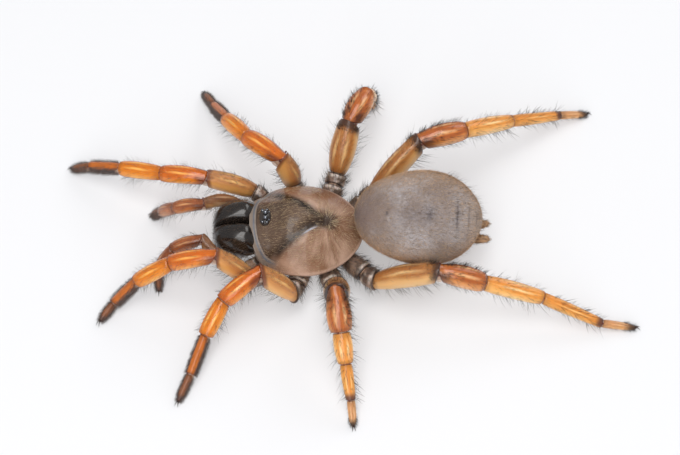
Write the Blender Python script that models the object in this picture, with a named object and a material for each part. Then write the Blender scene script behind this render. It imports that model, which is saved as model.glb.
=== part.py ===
# Trapdoor spider, a still life-size museum model in a walking stance.
# Sizes are in millimetres and degrees; MM turns millimetres into metres.
# The animal faces -Y, its left side is +X, and its feet stand at z = 0.

import math

import bmesh
import bpy
from mathutils import Matrix, Vector

MM = 0.001

# Driving dimensions
JOINT_GAP = 0.3
LIMB_SIDES = 10
TOE_HEIGHT = 0.3
SOLE_DEPTH = 0.07
SETTLE_STEPS = 5
SHARP_ANGLE = 50

CARAPACE_CENTRE_Y = -1.5
CARAPACE_FRONT = 4.5
CARAPACE_REAR = 4.6
CARAPACE_HALF_WIDTH = 4.1
CARAPACE_FRONT_POWER = 2.6
CARAPACE_REAR_POWER = 1.85
CARAPACE_UNDERSIDE = 3.15
MARGIN_HEIGHT = 3.42
CLYPEUS_HEIGHT = 5.15
CLYPEUS_CORNER_ANGLE = 40
CROWN_POWER = 2.3
# Height of the midline of the carapace at stations from the front edge to the rear edge
CARAPACE_MIDLINE = ((-6.0, 5.2), (-4.7, 5.75), (-3.0, 6.3), (-1.4, 6.1), (0.0, 5.45), (1.6, 4.7), (3.1, 3.7))
EQUATOR_BAND = 0.01
EDGE_SHARE = 0.985
UNDERCUT_SHARE = 0.97
GROOVE_DEPTH = 0.22
GROOVE_WIDTH = 0.32
GROOVE_END = (2.0, -4.6)
FOVEA_CENTRE = (0.0, 0.0, 5.5)
FOVEA_SIZE = (1.5, 0.75, 1.1)

EYE_CENTRE = (0.0, -4.7)
EYE_BASE_HEIGHT = 5.4
TUBERCLE_SIZE = (1.5, 1.0, 0.95)
# Each eye of one side: distance from the midline, distance behind the tubercle's middle, diameter
EYES = ((0.2, 0.0, 0.36), (0.5, -0.24, 0.3), (0.52, 0.1, 0.3), (0.3, 0.24, 0.24))

STERNUM_SIZE = (4.0, 5.4, 1.6)
STERNUM_CENTRE = (0.0, -1.3, 2.0)
STERNUM_TOP_FLATNESS = 0.45
LABIUM_START = 0.7
LABIUM_REACH = 0.5
LABIUM_NARROWING = 0.5

CHELICERA_SIZE = (2.2, 5.2, 3.2)
CHELICERA_BASE_Y = -6.3
CHELICERA_MIDDLE_Z = 3.75
CHELICERA_PARTING = 0.28
CHELICERA_TIP_SHARE = 0.3
CHELICERA_DROOP = 0.35
CHELICERA_BLUNTNESS = 0.85

FANG_ROOT = (1.15, -8.2, 1.75)
FANG_LENGTH = 2.7
FANG_THICKNESS = 0.62
FANG_SAG = 0.25
FANG_TOE_IN = 0.25
FANG_TAPER = 0.6
FANG_TIP_RADIUS = 0.05

ABDOMEN_SIZE = (7.44, 10.15, 7.2)
ABDOMEN_CENTRE = (-0.15, 7.4, 5.25)
ABDOMEN_TILT = 6
ABDOMEN_REAR_FULLNESS = 0.12

PEDICEL_WIDTH = 1.3
PEDICEL_HEIGHT = 0.52
PEDICEL_PATH = ((0.0, 1.75, 2.25), (0.0, 2.95, 2.4), (0.0, 3.62, 2.95))

SPINNERET_ROOT = (0.68, 11.8, 2.85)
SPINNERET_LENGTH = 1.35
SPINNERET_THICKNESS = 0.62
SPINNERET_SPLAY = 0.12
SPINNERET_RISE = 0.1

CLAW_LENGTH = 0.62
CLAW_THICKNESS = 0.24
CLAW_SIDES = 6
CLAW_TAPER = 0.8
CLAW_ARCH = 0.12
CLAW_RISE_ANGLE = 18
CLAW_CURL_ANGLE = 88
CLAW_ROOT_DEPTH = 0.22
CLAW_ROOT_RISE = 0.08
CLAW_SPREAD = 16
CLAW_TIP_HEIGHT = 0.06

# Where each leg leaves the sternum, as an angle from straight ahead
COXA_ANGLES = {"1": 56, "2": 85, "3": 114, "4": 146, "palp": 27}
COXA_INNER_Z = 1.9

# Width and height of each segment at its start, middle and end, for each pair
SECTIONS = {
    "1": {"coxa": ((0.95, 1.4, 1.35), (1.3, 1.4, 1.45)),
          "femur": ((1.35, 1.5, 1.35), (1.45, 1.75, 1.55)),
          "patella": ((1.25, 1.42, 1.3), (1.35, 1.5, 1.3)),
          "tibia": ((1.2, 1.38, 1.22), (1.22, 1.36, 1.15)),
          "metatarsus": ((1.15, 1.25, 1.1), (1.05, 1.05, 0.92)),
          "tarsus": ((1.05, 1.0, 0.72), (0.85, 0.76, 0.6))},
    "2": {"coxa": ((1.0, 1.6, 1.4), (1.3, 1.45, 1.5)),
          "femur": ((1.4, 1.6, 1.45), (1.5, 1.8, 1.6)),
          "patella": ((1.35, 1.58, 1.4), (1.45, 1.6, 1.4)),
          "tibia": ((1.25, 1.42, 1.22), (1.25, 1.4, 1.15)),
          "metatarsus": ((1.15, 1.22, 1.05), (1.05, 1.05, 0.9)),
          "tarsus": ((1.0, 0.98, 0.7), (0.82, 0.74, 0.6))},
    "3": {"coxa": ((1.0, 1.7, 1.5), (1.3, 1.5, 1.55)),
          "femur": ((1.5, 2.05, 1.7), (1.6, 2.3, 1.8)),
          "patella": ((1.6, 1.95, 1.6), (1.6, 1.85, 1.6)),
          "tibia": ((1.45, 1.5, 1.15), (1.4, 1.45, 1.1)),
          "metatarsus": ((1.0, 0.98, 0.75), (0.98, 0.92, 0.7)),
          "tarsus": ((0.7, 0.64, 0.52), (0.66, 0.6, 0.5))},
    "4": {"coxa": ((1.0, 1.7, 1.55), (1.3, 1.5, 1.55)),
          "femur": ((1.45, 1.65, 1.5), (1.6, 2.25, 1.8)),
          "patella": ((1.5, 1.75, 1.45), (1.6, 1.85, 1.5)),
          "tibia": ((1.35, 1.4, 1.1), (1.35, 1.4, 1.1)),
          "metatarsus": ((1.05, 0.98, 0.75), (1.02, 0.92, 0.7)),
          "tarsus": ((0.72, 0.64, 0.52), (0.68, 0.6, 0.5))},
    "palp": {"coxa": ((0.75, 0.9, 0.9), (1.1, 1.05, 0.95)),
             "femur": ((0.9, 1.0, 0.95), (0.95, 1.12, 1.0)),
             "patella": ((0.95, 1.08, 1.0), (0.95, 1.1, 1.0)),
             "tibia": ((0.95, 1.08, 0.95), (0.95, 1.05, 0.9)),
             "tarsus": ((0.88, 0.88, 0.62), (0.8, 0.76, 0.58))},
}

# How far the middle of a segment rises above the straight line between its joints
ARCHES = {"coxa": 0.0, "femur": 0.16, "patella": 0.14, "tibia": 0.04, "metatarsus": 0.0, "tarsus": 0.03}

# Sizes along a segment: distance from its start as a share of its length, and share of full size
SEGMENT_STATIONS = ((0.0, 0.85), (0.07, 0.97), (0.22, 1.0), (0.4, 1.0), (0.6, 1.0), (0.78, 1.0),
                    (0.93, 0.97), (1.0, 0.85))
COXA_STATIONS = ((0.0, 0.9), (0.15, 1.0), (0.4, 1.03), (0.62, 1.0), (0.72, 0.84), (0.82, 0.97), (1.0, 0.88))
TOE_STATIONS = ((0.1, 0.98), (0.3, 1.0), (0.55, 1.0), (0.78, 0.96), (0.92, 0.82), (1.0, 0.5))
PEDICEL_STATIONS = ((0.0, 1.0), (0.5, 1.0), (1.0, 1.0))
SPINNERET_STATIONS = ((0.0, 0.95), (0.2, 1.0), (0.45, 0.98), (0.5, 0.86), (0.56, 0.95), (0.85, 0.8),
                      (1.0, 0.4))
# How far along a segment the tilt of its end rings fades out
MITRE_REACH = 0.45

# Stance of each limb: root of the femur, then heading and pitch of each segment.
# A heading is measured from straight ahead outwards; the last segment's pitch
# follows from the floor. bow moves the middle of the femur outwards.
LIMBS = {
    "leg1_left": {"pair": "1", "side": 1, "root": (4.1, -5.8, 2.6), "lengths": (4.4, 3.8, 3.5, 2.9, 1.9),
                  "headings": (-6, -3, 10, 26, 54), "pitches": (50, -22, -36, -43)},
    "leg1_right": {"pair": "1", "side": -1, "root": (-4.2, -5.7, 2.5), "lengths": (4.15, 3.8, 3.7, 3.0, 2.1),
                   "headings": (4, 12, 18, 19, 15), "pitches": (23, -9, -16, -24)},
    "leg2_left": {"pair": "2", "side": 1, "root": (5.2, -2.6, 2.4), "lengths": (3.8, 3.5, 3.1, 3.3, 2.4),
                  "headings": (-6, 32, 57, 67, 65), "pitches": (47, -21, -31, -26)},
    "leg2_right": {"pair": "2", "side": -1, "root": (-5.2, -2.6, 1.95), "lengths": (3.7, 3.8, 3.45, 3.4, 2.4),
                   "headings": (15, 43, 56, 65, 65), "pitches": (74, -13, -24, -36)},
    "leg3_left": {"pair": "3", "side": 1, "root": (5.2, 1.0, 2.4), "lengths": (4.4, 3.0, 2.5, 2.9, 2.2),
                  "headings": (87, 99, 100, 100, 97), "pitches": (61, -31, -36, -36)},
    "leg3_right": {"pair": "3", "side": -1, "root": (-5.8, 1.0, 2.6), "lengths": (4.5, 2.85, 2.5, 2.9, 2.2),
                   "headings": (110, 117, 105, 102, 100), "pitches": (51, 0, -60, -70)},
    "leg4_left": {"pair": "4", "side": 1, "root": (4.1, 4.1, 2.4), "lengths": (5.7, 3.75, 4.9, 5.3, 2.8),
                  "headings": (172, 175, 173, 165, 177), "pitches": (29, -18, -17, -21)},
    "leg4_right": {"pair": "4", "side": -1, "root": (-4.2, 4.0, 2.4), "lengths": (5.7, 3.75, 4.9, 5.3, 2.8),
                   "headings": (144, 163, 151, 153, 162), "pitches": (38, -2, -25, -28)},
    "palp_left": {"pair": "palp", "side": 1, "root": (3.15, -6.8, 2.25), "lengths": (4.0, 2.6, 2.3, 1.9),
                  "headings": (-32, 5, 36, 90), "pitches": (30, -25, -48), "bow": 0.35},
    "palp_right": {"pair": "palp", "side": -1, "root": (-3.05, -6.8, 2.25), "lengths": (4.0, 2.6, 2.3, 1.9),
                   "headings": (-25, 8, 33, 26), "pitches": (37, -26, -53), "bow": 0.3},
}

# Colour, roughness and metallic value of each finish
FINISHES = {
    "carapace_shell": ((0.36, 0.25, 0.19), 0.38, 0.0),
    "chelicera_shell": ((0.035, 0.03, 0.032), 0.3, 0.0),
    "fang_shell": ((0.05, 0.02, 0.012), 0.18, 0.0),
    "eye_shell": ((0.03, 0.02, 0.018), 0.12, 0.0),
    "sternum_shell": ((0.46, 0.3, 0.17), 0.45, 0.0),
    "abdomen_skin": ((0.29, 0.23, 0.19), 0.75, 0.0),
    "pedicel_skin": ((0.4, 0.31, 0.25), 0.6, 0.0),
    "spinneret_skin": ((0.42, 0.26, 0.12), 0.6, 0.0),
    "coxa_shell": ((0.3, 0.22, 0.16), 0.5, 0.0),
    "femur_shell": ((0.55, 0.3, 0.11), 0.38, 0.0),
    "amber_shell": ((0.64, 0.24, 0.045), 0.3, 0.0),
    "foot_shell": ((0.4, 0.15, 0.04), 0.45, 0.0),
    "palp_shell": ((0.5, 0.2, 0.06), 0.4, 0.0),
}


def scaled(values):
    return Vector(values) * MM


def finish_material(name):
    if name in bpy.data.materials:
        return bpy.data.materials[name]
    colour, roughness, metallic = FINISHES[name]
    material = bpy.data.materials.new(name)
    material.use_nodes = True
    shader = material.node_tree.nodes["Principled BSDF"]
    shader.inputs["Base Color"].default_value = (*colour, 1.0)
    shader.inputs["Roughness"].default_value = roughness
    shader.inputs["Metallic"].default_value = metallic
    material.diffuse_color = (*colour, 1.0)
    return material


def node_from_bmesh(bm, name, finish, spider):
    bmesh.ops.recalc_face_normals(bm, faces=bm.faces[:])
    mesh = bpy.data.meshes.new(name)
    bm.to_mesh(mesh)
    bm.free()
    mesh.shade_smooth()
    mesh.set_sharp_from_angle(angle=math.radians(SHARP_ANGLE))
    node = bpy.data.objects.new(name, mesh)
    node.data.materials.append(finish_material(finish))
    node.parent = spider["empty"]
    spider["collection"].objects.link(node)
    return node


def scratch_object(bm, name, collection):
    bmesh.ops.recalc_face_normals(bm, faces=bm.faces[:])
    mesh = bpy.data.meshes.new(name)
    bm.to_mesh(mesh)
    bm.free()
    piece = bpy.data.objects.new(name, mesh)
    piece.hide_render = True
    piece.display_type = "WIRE"
    collection.objects.link(piece)
    return piece


def keep_largest_surface(node):
    """Drop whatever a Boolean leaves apart from the node's main closed surface."""
    bm = bmesh.new()
    bm.from_mesh(node.data)
    unseen = set(bm.verts)
    islands = []
    while unseen:
        stack = [unseen.pop()]
        island = set(stack)
        while stack:
            for edge in stack.pop().link_edges:
                for vert in edge.verts:
                    if vert in unseen:
                        unseen.remove(vert)
                        island.add(vert)
                        stack.append(vert)
        islands.append(island)
    islands.sort(key=len, reverse=True)
    for island in islands[1:]:
        bmesh.ops.delete(bm, geom=list(island), context="VERTS")
    bm.to_mesh(node.data)
    bm.free()


def combine(node, pieces, operation):
    """Join or cut a node with closed pieces in one Boolean, which is applied."""
    extras = bpy.data.collections.new(node.name + "_pieces")
    bpy.context.scene.collection.children.link(extras)
    for piece in pieces:
        scratch_object(piece, node.name + "_piece", extras)
    modifier = node.modifiers.new("combine", "BOOLEAN")
    modifier.operation = operation
    modifier.operand_type = "COLLECTION"
    modifier.collection = extras
    modifier.solver = "EXACT"
    bpy.context.view_layer.objects.active = node
    bpy.ops.object.modifier_apply(modifier=modifier.name)
    for piece in list(extras.objects):
        bpy.data.objects.remove(piece)
    bpy.data.collections.remove(extras)
    keep_largest_surface(node)


def on_parabola(sizes, t):
    """Size at t on the parabola through its values at the start, the middle and the end."""
    start, middle, end = sizes
    return start * (1 - t) * (1 - 2 * t) + 4 * middle * t * (1 - t) + end * t * (2 * t - 1)


def on_stations(stations, x):
    """Height at x on a smooth line through the stations."""
    for (x0, z0), (x1, z1) in zip(stations, stations[1:]):
        if x <= x1 or x1 == stations[-1][0]:
            t = min(max((x - x0) / (x1 - x0), 0.0), 1.0)
            ease = t * t * (3 - 2 * t)
            return z0 + (z1 - z0) * (t + ease) / 2
    return stations[-1][1]


def direction(heading, pitch, side):
    heading = math.radians(heading)
    pitch = math.radians(pitch)
    return Vector((side * math.sin(heading) * math.cos(pitch),
                   -math.cos(heading) * math.cos(pitch),
                   math.sin(pitch)))


def loft(bm, rings):
    """Skin a row of rings that differ in size and tilt, and cap both ends."""
    loops = [[bm.verts.new(point * MM) for point in ring] for ring in rings]
    for near, far in zip(loops, loops[1:]):
        for i in range(len(near)):
            j = (i + 1) % len(near)
            bm.faces.new((near[i], near[j], far[j], far[i]))
    bm.faces.new(loops[0][::-1])
    bm.faces.new(loops[-1])


def segment_rings(start, end, start_normal, end_normal, sections, stations, arch=0.0, bow=0.0):
    """Rings of one limb segment; each end lies in the plane that it shares with its neighbour."""
    axis = (end - start).normalized()
    across = axis.cross(Vector((0, 0, 1))).normalized()
    up = across.cross(axis)
    widths, heights = sections
    rings = []
    for t, scale in stations:
        swell = math.sin(math.pi * t)
        centre = start.lerp(end, t) + up * arch * swell + across * bow * swell
        width = on_parabola(widths, t) * scale
        height = on_parabola(heights, t) * scale
        start_share = max(0.0, 1 - t / MITRE_REACH)
        end_share = max(0.0, 1 - (1 - t) / MITRE_REACH)
        ring = []
        for i in range(LIMB_SIDES):
            angle = math.tau * i / LIMB_SIDES
            offset = across * math.cos(angle) * width / 2 + up * math.sin(angle) * height / 2
            lean = -start_share * offset.dot(start_normal) / axis.dot(start_normal)
            lean -= end_share * offset.dot(end_normal) / axis.dot(end_normal)
            ring.append(centre + offset + axis * lean)
        rings.append(ring)
    return rings


def limb_joints(limb, toe_height):
    """Joint centres of a limb; its last segment comes down to the toe's height."""
    joints = [Vector(limb["root"])]
    for length, heading, pitch in zip(limb["lengths"], limb["headings"], limb["pitches"]):
        joints.append(joints[-1] + direction(heading, pitch, limb["side"]) * length)
    length = limb["lengths"][-1]
    pitch = math.degrees(math.asin((toe_height - joints[-1].z) / length))
    joints.append(joints[-1] + direction(limb["headings"][-1], pitch, limb["side"]) * length)
    return joints


def coxa_start(limb):
    """Point just off the sternum's rim where a limb begins."""
    angle = math.radians(COXA_ANGLES[limb["pair"]])
    reach = Vector((STERNUM_SIZE[0] / 2 + JOINT_GAP, STERNUM_SIZE[1] / 2 + JOINT_GAP))
    return Vector((limb["side"] * reach.x * math.sin(angle),
                   STERNUM_CENTRE[1] - reach.y * math.cos(angle),
                   COXA_INNER_Z))


def mitre_normals(points):
    """Normal of the plane at each point of a limb's path."""
    axes = [(b - a).normalized() for a, b in zip(points, points[1:])]
    normals = [axes[0]]
    normals += [(before + after).normalized() for before, after in zip(axes, axes[1:])]
    normals.append(axes[-1])
    return axes, normals


def set_back(point, axis, normal, way):
    """Move a segment's end half a joint gap away from the plane that it shares."""
    return point + axis * way * (JOINT_GAP / 2) / axis.dot(normal)


def claw(root, heading, side, tilt):
    """One tapered hook that rises a little and curves down to just above the floor."""
    rings = []
    steps = 5
    forward = direction(heading + tilt, 0, side)
    across = forward.cross(Vector((0, 0, 1)))
    for step in range(steps):
        t = step / (steps - 1)
        bend = math.radians(CLAW_RISE_ANGLE - CLAW_CURL_ANGLE * t)
        height = CLAW_ARCH * math.sin(math.pi * t) - (root.z - CLAW_TIP_HEIGHT) * t * t
        centre = root + forward * CLAW_LENGTH * t + Vector((0, 0, height))
        along = forward * math.cos(bend) + Vector((0, 0, math.sin(bend)))
        up = across.cross(along)
        radius = CLAW_THICKNESS / 2 * (1 - CLAW_TAPER * t)
        rings.append([centre + (across * math.cos(a) + up * math.sin(a)) * radius
                      for a in (math.tau * i / CLAW_SIDES for i in range(CLAW_SIDES))])
    bm = bmesh.new()
    loft(bm, rings)
    return bm


def cut_flat(bm, point, outward):
    """Cut a solid off at a plane and close it there with one flat face."""
    cut = bmesh.ops.bisect_plane(bm, geom=bm.verts[:] + bm.edges[:] + bm.faces[:], dist=1e-7,
                                 plane_co=scaled(point), plane_no=outward, clear_outer=True)
    rim = [item for item in cut["geom_cut"] if isinstance(item, bmesh.types.BMEdge)]
    bmesh.ops.contextual_create(bm, geom=rim)


def foot_rings(limb, points, first):
    """Rings of a limb's foot, from the joint behind it to the toe."""
    axes, normals = mitre_normals(points)
    sections = SECTIONS[limb["pair"]]
    segments = ["metatarsus", "tarsus"] if first + 2 < len(points) else ["tarsus"]
    rings = []
    for index, segment in enumerate(segments, first):
        start = points[index]
        if index == first:
            start = set_back(start, axes[index], normals[index], 1)
        stations = TOE_STATIONS if segment == "tarsus" else SEGMENT_STATIONS
        if segments == ["tarsus"]:
            stations = SEGMENT_STATIONS[:1] + TOE_STATIONS
        rings += segment_rings(start, points[index + 1], normals[index], normals[index + 1],
                               sections[segment], stations, ARCHES[segment])
    return rings


def settle(limb, first):
    """Path of a limb whose toe is lowered until its underside sinks by the depth of the sole."""
    toe_height = TOE_HEIGHT
    for _ in range(SETTLE_STEPS):
        points = [coxa_start(limb)] + limb_joints(limb, toe_height)
        lowest = min(point.z for ring in foot_rings(limb, points, first) for point in ring)
        toe_height -= lowest + SOLE_DEPTH
    return points


def make_foot(name, limb, points, first, spider):
    """Metatarsus and tarsus, or the tarsus of a palp, as one piece with its claws and flat sole."""
    bm = bmesh.new()
    loft(bm, foot_rings(limb, points, first))
    cut_flat(bm, (0, 0, 0), (0, 0, -1))
    foot = node_from_bmesh(bm, name, "foot_shell", spider)
    tip_axis = (points[-1] - points[-2]).normalized()
    root = points[-1] - tip_axis * CLAW_ROOT_DEPTH + Vector((0, 0, CLAW_ROOT_RISE))
    tilts = (0,) if limb["pair"] == "palp" else (-CLAW_SPREAD, CLAW_SPREAD)
    combine(foot, [claw(root, limb["headings"][-1], limb["side"], tilt) for tilt in tilts], "UNION")


def make_limb(name, limb, spider):
    """Coxa to claws of one leg or palp, each segment its own solid."""
    is_palp = limb["pair"] == "palp"
    names = ["coxa", "femur"] if is_palp else ["coxa", "femur", "patella", "tibia"]
    finishes = {"coxa": "coxa_shell", "femur": "femur_shell"}
    foot_start = 4
    points = settle(limb, foot_start)
    axes, normals = mitre_normals(points)
    for index, segment in enumerate(names):
        start = points[index] if index == 0 else set_back(points[index], axes[index], normals[index], 1)
        end = set_back(points[index + 1], axes[index], normals[index + 1], -1)
        stations = COXA_STATIONS if segment == "coxa" else SEGMENT_STATIONS
        bow = -limb.get("bow", 0.0) * limb["side"] if segment == "femur" else 0.0
        bm = bmesh.new()
        loft(bm, segment_rings(start, end, normals[index], normals[index + 1],
                               SECTIONS[limb["pair"]][segment], stations, ARCHES[segment], bow))
        node_from_bmesh(bm, name + "_" + segment, finishes.get(segment, "amber_shell"), spider)
    if is_palp:
        make_shin(name, points, axes, normals, SECTIONS["palp"], spider)
    make_foot(name + ("_tarsus" if is_palp else "_foot"), limb, points, foot_start, spider)


def make_shin(name, points, axes, normals, sections, spider):
    """Patella and tibia of a palp as one bent piece with a waist between them."""
    start = set_back(points[2], axes[2], normals[2], 1)
    end = set_back(points[4], axes[3], normals[4], -1)
    rings = segment_rings(start, points[3], normals[2], normals[3], sections["patella"],
                          SEGMENT_STATIONS, ARCHES["patella"])
    rings += segment_rings(points[3], end, normals[3], normals[4], sections["tibia"],
                           SEGMENT_STATIONS[1:], ARCHES["tibia"])
    bm = bmesh.new()
    loft(bm, rings)
    node_from_bmesh(bm, name + "_shin", "palp_shell", spider)


def outline_reach(angle):
    """Plan radius of the carapace at an angle from straight ahead."""
    ahead = math.cos(angle) > 0
    length = CARAPACE_FRONT if ahead else CARAPACE_REAR
    power = CARAPACE_FRONT_POWER if ahead else CARAPACE_REAR_POWER
    return (abs(math.cos(angle) / length) ** power
            + abs(math.sin(angle) / CARAPACE_HALF_WIDTH) ** power) ** (-1 / power)


def rim_height(angle):
    """Top of the carapace's edge: low round the sides, arched over the chelicerae in front."""
    turn = abs(math.degrees(math.atan2(math.sin(angle), math.cos(angle))))
    if turn >= CLYPEUS_CORNER_ANGLE:
        return MARGIN_HEIGHT
    rise = 1 - (turn / CLYPEUS_CORNER_ANGLE) ** 2
    return MARGIN_HEIGHT + (CLYPEUS_HEIGHT - MARGIN_HEIGHT) * rise


def groove_depth(x, y):
    """Depth of the two shallow grooves that run from the fovea to the front corners."""
    end_x, end_y = GROOVE_END
    length = math.hypot(end_x, end_y)
    along = (abs(x) * end_x + y * end_y) / length
    off = abs(abs(x) * end_y - y * end_x) / length
    fade = max(0.0, min(1.0, along)) * max(0.0, min(1.0, length - along))
    return GROOVE_DEPTH * fade * math.exp(-(off / GROOVE_WIDTH) ** 2)


def make_carapace(spider):
    """Domed shield: a sphere whose upper half takes the crown and whose lower half is pressed flat."""
    bm = bmesh.new()
    bmesh.ops.create_uvsphere(bm, u_segments=40, v_segments=24, radius=1)
    for vert in bm.verts:
        flat = min(1.0, math.hypot(vert.co.x, vert.co.y))
        angle = math.atan2(vert.co.x, -vert.co.y)
        is_top = vert.co.z > EQUATOR_BAND
        if is_top:
            share = min(1.0, flat / EDGE_SHARE)
        else:
            share = flat if vert.co.z > -EQUATOR_BAND else flat * UNDERCUT_SHARE
        reach = outline_reach(angle) * share
        x = reach * math.sin(angle)
        y = CARAPACE_CENTRE_Y - reach * math.cos(angle)
        z = CARAPACE_UNDERSIDE
        if is_top:
            crown = on_stations(CARAPACE_MIDLINE, y) - groove_depth(x, y)
            blend = share ** CROWN_POWER
            z = rim_height(angle) * blend + crown * (1 - blend)
        vert.co = scaled((x, y, z))
    bmesh.ops.dissolve_limit(bm, angle_limit=math.radians(0.5), verts=bm.verts[:], edges=bm.edges[:])
    carapace = node_from_bmesh(bm, "carapace", "carapace_shell", spider)
    combine(carapace, [ellipsoid(FOVEA_CENTRE, FOVEA_SIZE, 16, 8), eye_pocket()], "DIFFERENCE")


def ellipsoid(centre, size, around, up):
    bm = bmesh.new()
    bmesh.ops.create_uvsphere(bm, u_segments=around, v_segments=up, radius=0.5 * MM,
                              matrix=Matrix.Translation(scaled(centre)) @ Matrix.Diagonal((*size, 1)))
    return bm


def eye_pocket():
    """Flat-bottomed oval recess that holds the eye tubercle with a gap all round."""
    bm = bmesh.new()
    depth = 3.0
    floor = EYE_BASE_HEIGHT - JOINT_GAP
    size = (TUBERCLE_SIZE[0] + 2 * JOINT_GAP, TUBERCLE_SIZE[1] + 2 * JOINT_GAP, depth)
    place = Matrix.Translation(scaled((*EYE_CENTRE, floor + depth / 2))) @ Matrix.Diagonal((*size, 1))
    bmesh.ops.create_cone(bm, cap_ends=True, segments=20, radius1=0.5 * MM, radius2=0.5 * MM,
                          depth=MM, matrix=place)
    return bm


def make_eye_group(spider):
    """Low oval tubercle with two rows of eyes, cut flat underneath."""
    width, length, height = TUBERCLE_SIZE
    bm = ellipsoid((*EYE_CENTRE, EYE_BASE_HEIGHT), (width, length, height), 20, 10)
    cut_flat(bm, (0, 0, EYE_BASE_HEIGHT), (0, 0, -1))
    group = node_from_bmesh(bm, "eye_group", "eye_shell", spider)
    eyes = []
    for side in (-1, 1):
        for x, y, size in EYES:
            level = math.sqrt(max(0.05, 1 - (2 * x / width) ** 2 - (2 * y / length) ** 2)) * height / 2
            centre = (EYE_CENTRE[0] + side * x, EYE_CENTRE[1] + y, EYE_BASE_HEIGHT + level)
            eyes.append(ellipsoid(centre, (size, size, size), 8, 6))
    combine(group, eyes, "UNION")


def make_sternum(spider):
    """Flattened oval plate between the coxae, drawn out into the labium in front."""
    bm = ellipsoid((0, 0, 0), STERNUM_SIZE, 28, 12)
    for vert in bm.verts:
        x, y, z = vert.co / MM
        ahead = max(0.0, -y / (STERNUM_SIZE[1] / 2) - LABIUM_START) / (1 - LABIUM_START)
        x *= 1 - LABIUM_NARROWING * ahead
        y -= LABIUM_REACH * ahead * ahead
        flatness = 1 - STERNUM_TOP_FLATNESS * max(0.0, z) / (STERNUM_SIZE[2] / 2)
        vert.co = scaled((x + STERNUM_CENTRE[0], y + STERNUM_CENTRE[1], z * flatness + STERNUM_CENTRE[2]))
    node_from_bmesh(bm, "sternum", "sternum_shell", spider)


def make_chelicera(name, side, spider):
    """Blunt bulging jaw, straight along the midline, with a flat base that faces the carapace."""
    width, length, height = CHELICERA_SIZE
    bm = ellipsoid((0, 0, 0), (2, 2, 2), 20, 14)
    for vert in bm.verts:
        x, y, z = vert.co / MM
        ahead = -abs(y) ** CHELICERA_BLUNTNESS if y < 0 else y
        girth = math.sqrt(max(0.0, 1 - y * y))
        middle = CHELICERA_TIP_SHARE + (1 - CHELICERA_TIP_SHARE) * girth
        vert.co = scaled((side * (CHELICERA_PARTING / 2 + (middle + x) * width / 2),
                          CHELICERA_BASE_Y + ahead * length / 2,
                          CHELICERA_MIDDLE_Z + z * height / 2 - CHELICERA_DROOP * ahead * ahead))
    cut_flat(bm, (0, CHELICERA_BASE_Y, 0), (0, 1, 0))
    node_from_bmesh(bm, name, "chelicera_shell", spider)


def make_fang(name, side, spider):
    """Tapered fang folded back under its chelicera."""
    rings = []
    steps = 8
    for step in range(steps):
        t = step / (steps - 1)
        centre = Vector((side * (FANG_ROOT[0] - FANG_TOE_IN * t), FANG_ROOT[1] + FANG_LENGTH * t,
                         FANG_ROOT[2] - FANG_SAG * math.sin(math.pi * t)))
        radius = FANG_THICKNESS / 2 * (1 - t) ** FANG_TAPER + FANG_TIP_RADIUS
        rings.append([centre + Vector((math.cos(a), 0, math.sin(a))) * radius
                      for a in (math.tau * i / 10 for i in range(10))])
    bm = bmesh.new()
    loft(bm, rings)
    node_from_bmesh(bm, name, "fang_shell", spider)


def make_abdomen(spider):
    """Soft egg-shaped abdomen, fuller behind, which droops a little towards the rear."""
    bm = ellipsoid((0, 0, 0), ABDOMEN_SIZE, 28, 18)
    for vert in bm.verts:
        behind = vert.co.y / MM / (ABDOMEN_SIZE[1] / 2)
        fullness = 1 + ABDOMEN_REAR_FULLNESS * behind * (1 - behind * behind)
        vert.co.x *= fullness
        vert.co.z *= fullness
    bmesh.ops.rotate(bm, verts=bm.verts[:], cent=(0, 0, 0),
                     matrix=Matrix.Rotation(math.radians(-ABDOMEN_TILT), 3, "X"))
    bmesh.ops.translate(bm, verts=bm.verts[:], vec=scaled(ABDOMEN_CENTRE))
    node_from_bmesh(bm, "abdomen", "abdomen_skin", spider)


def make_pedicel(spider):
    """Short bent stalk between the front body and the abdomen."""
    points = [Vector(point) for point in PEDICEL_PATH]
    axes, normals = mitre_normals(points)
    sections = ((PEDICEL_WIDTH,) * 3, (PEDICEL_HEIGHT,) * 3)
    rings = segment_rings(points[0], points[1], normals[0], normals[1], sections, PEDICEL_STATIONS)
    rings += segment_rings(points[1], points[2], normals[1], normals[2], sections, PEDICEL_STATIONS[1:])
    bm = bmesh.new()
    loft(bm, rings)
    node_from_bmesh(bm, "pedicel", "pedicel_skin", spider)


def make_spinneret(name, side, spider):
    """Finger-like spinneret that points back and a little up."""
    root = Vector((side * SPINNERET_ROOT[0] + ABDOMEN_CENTRE[0], SPINNERET_ROOT[1], SPINNERET_ROOT[2]))
    tip = root + Vector((side * SPINNERET_SPLAY, 1.0, SPINNERET_RISE)).normalized() * SPINNERET_LENGTH
    axis = (tip - root).normalized()
    sections = ((SPINNERET_THICKNESS,) * 3, (SPINNERET_THICKNESS,) * 3)
    bm = bmesh.new()
    loft(bm, segment_rings(root, tip, axis, axis, sections, SPINNERET_STATIONS))
    node_from_bmesh(bm, name, "spinneret_skin", spider)


def stand_on_origin(spider):
    """Move the whole animal so that the origin is the bottom centre of its box."""
    bpy.context.view_layer.update()
    corners = [node.matrix_world @ vert.co for node in spider["collection"].objects
               if node.type == "MESH" for vert in node.data.vertices]
    low = Vector([min(corner[axis] for corner in corners) for axis in range(3)])
    high = Vector([max(corner[axis] for corner in corners) for axis in range(3)])
    spider["empty"].location = (-(low.x + high.x) / 2, -(low.y + high.y) / 2, -low.z)


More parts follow.
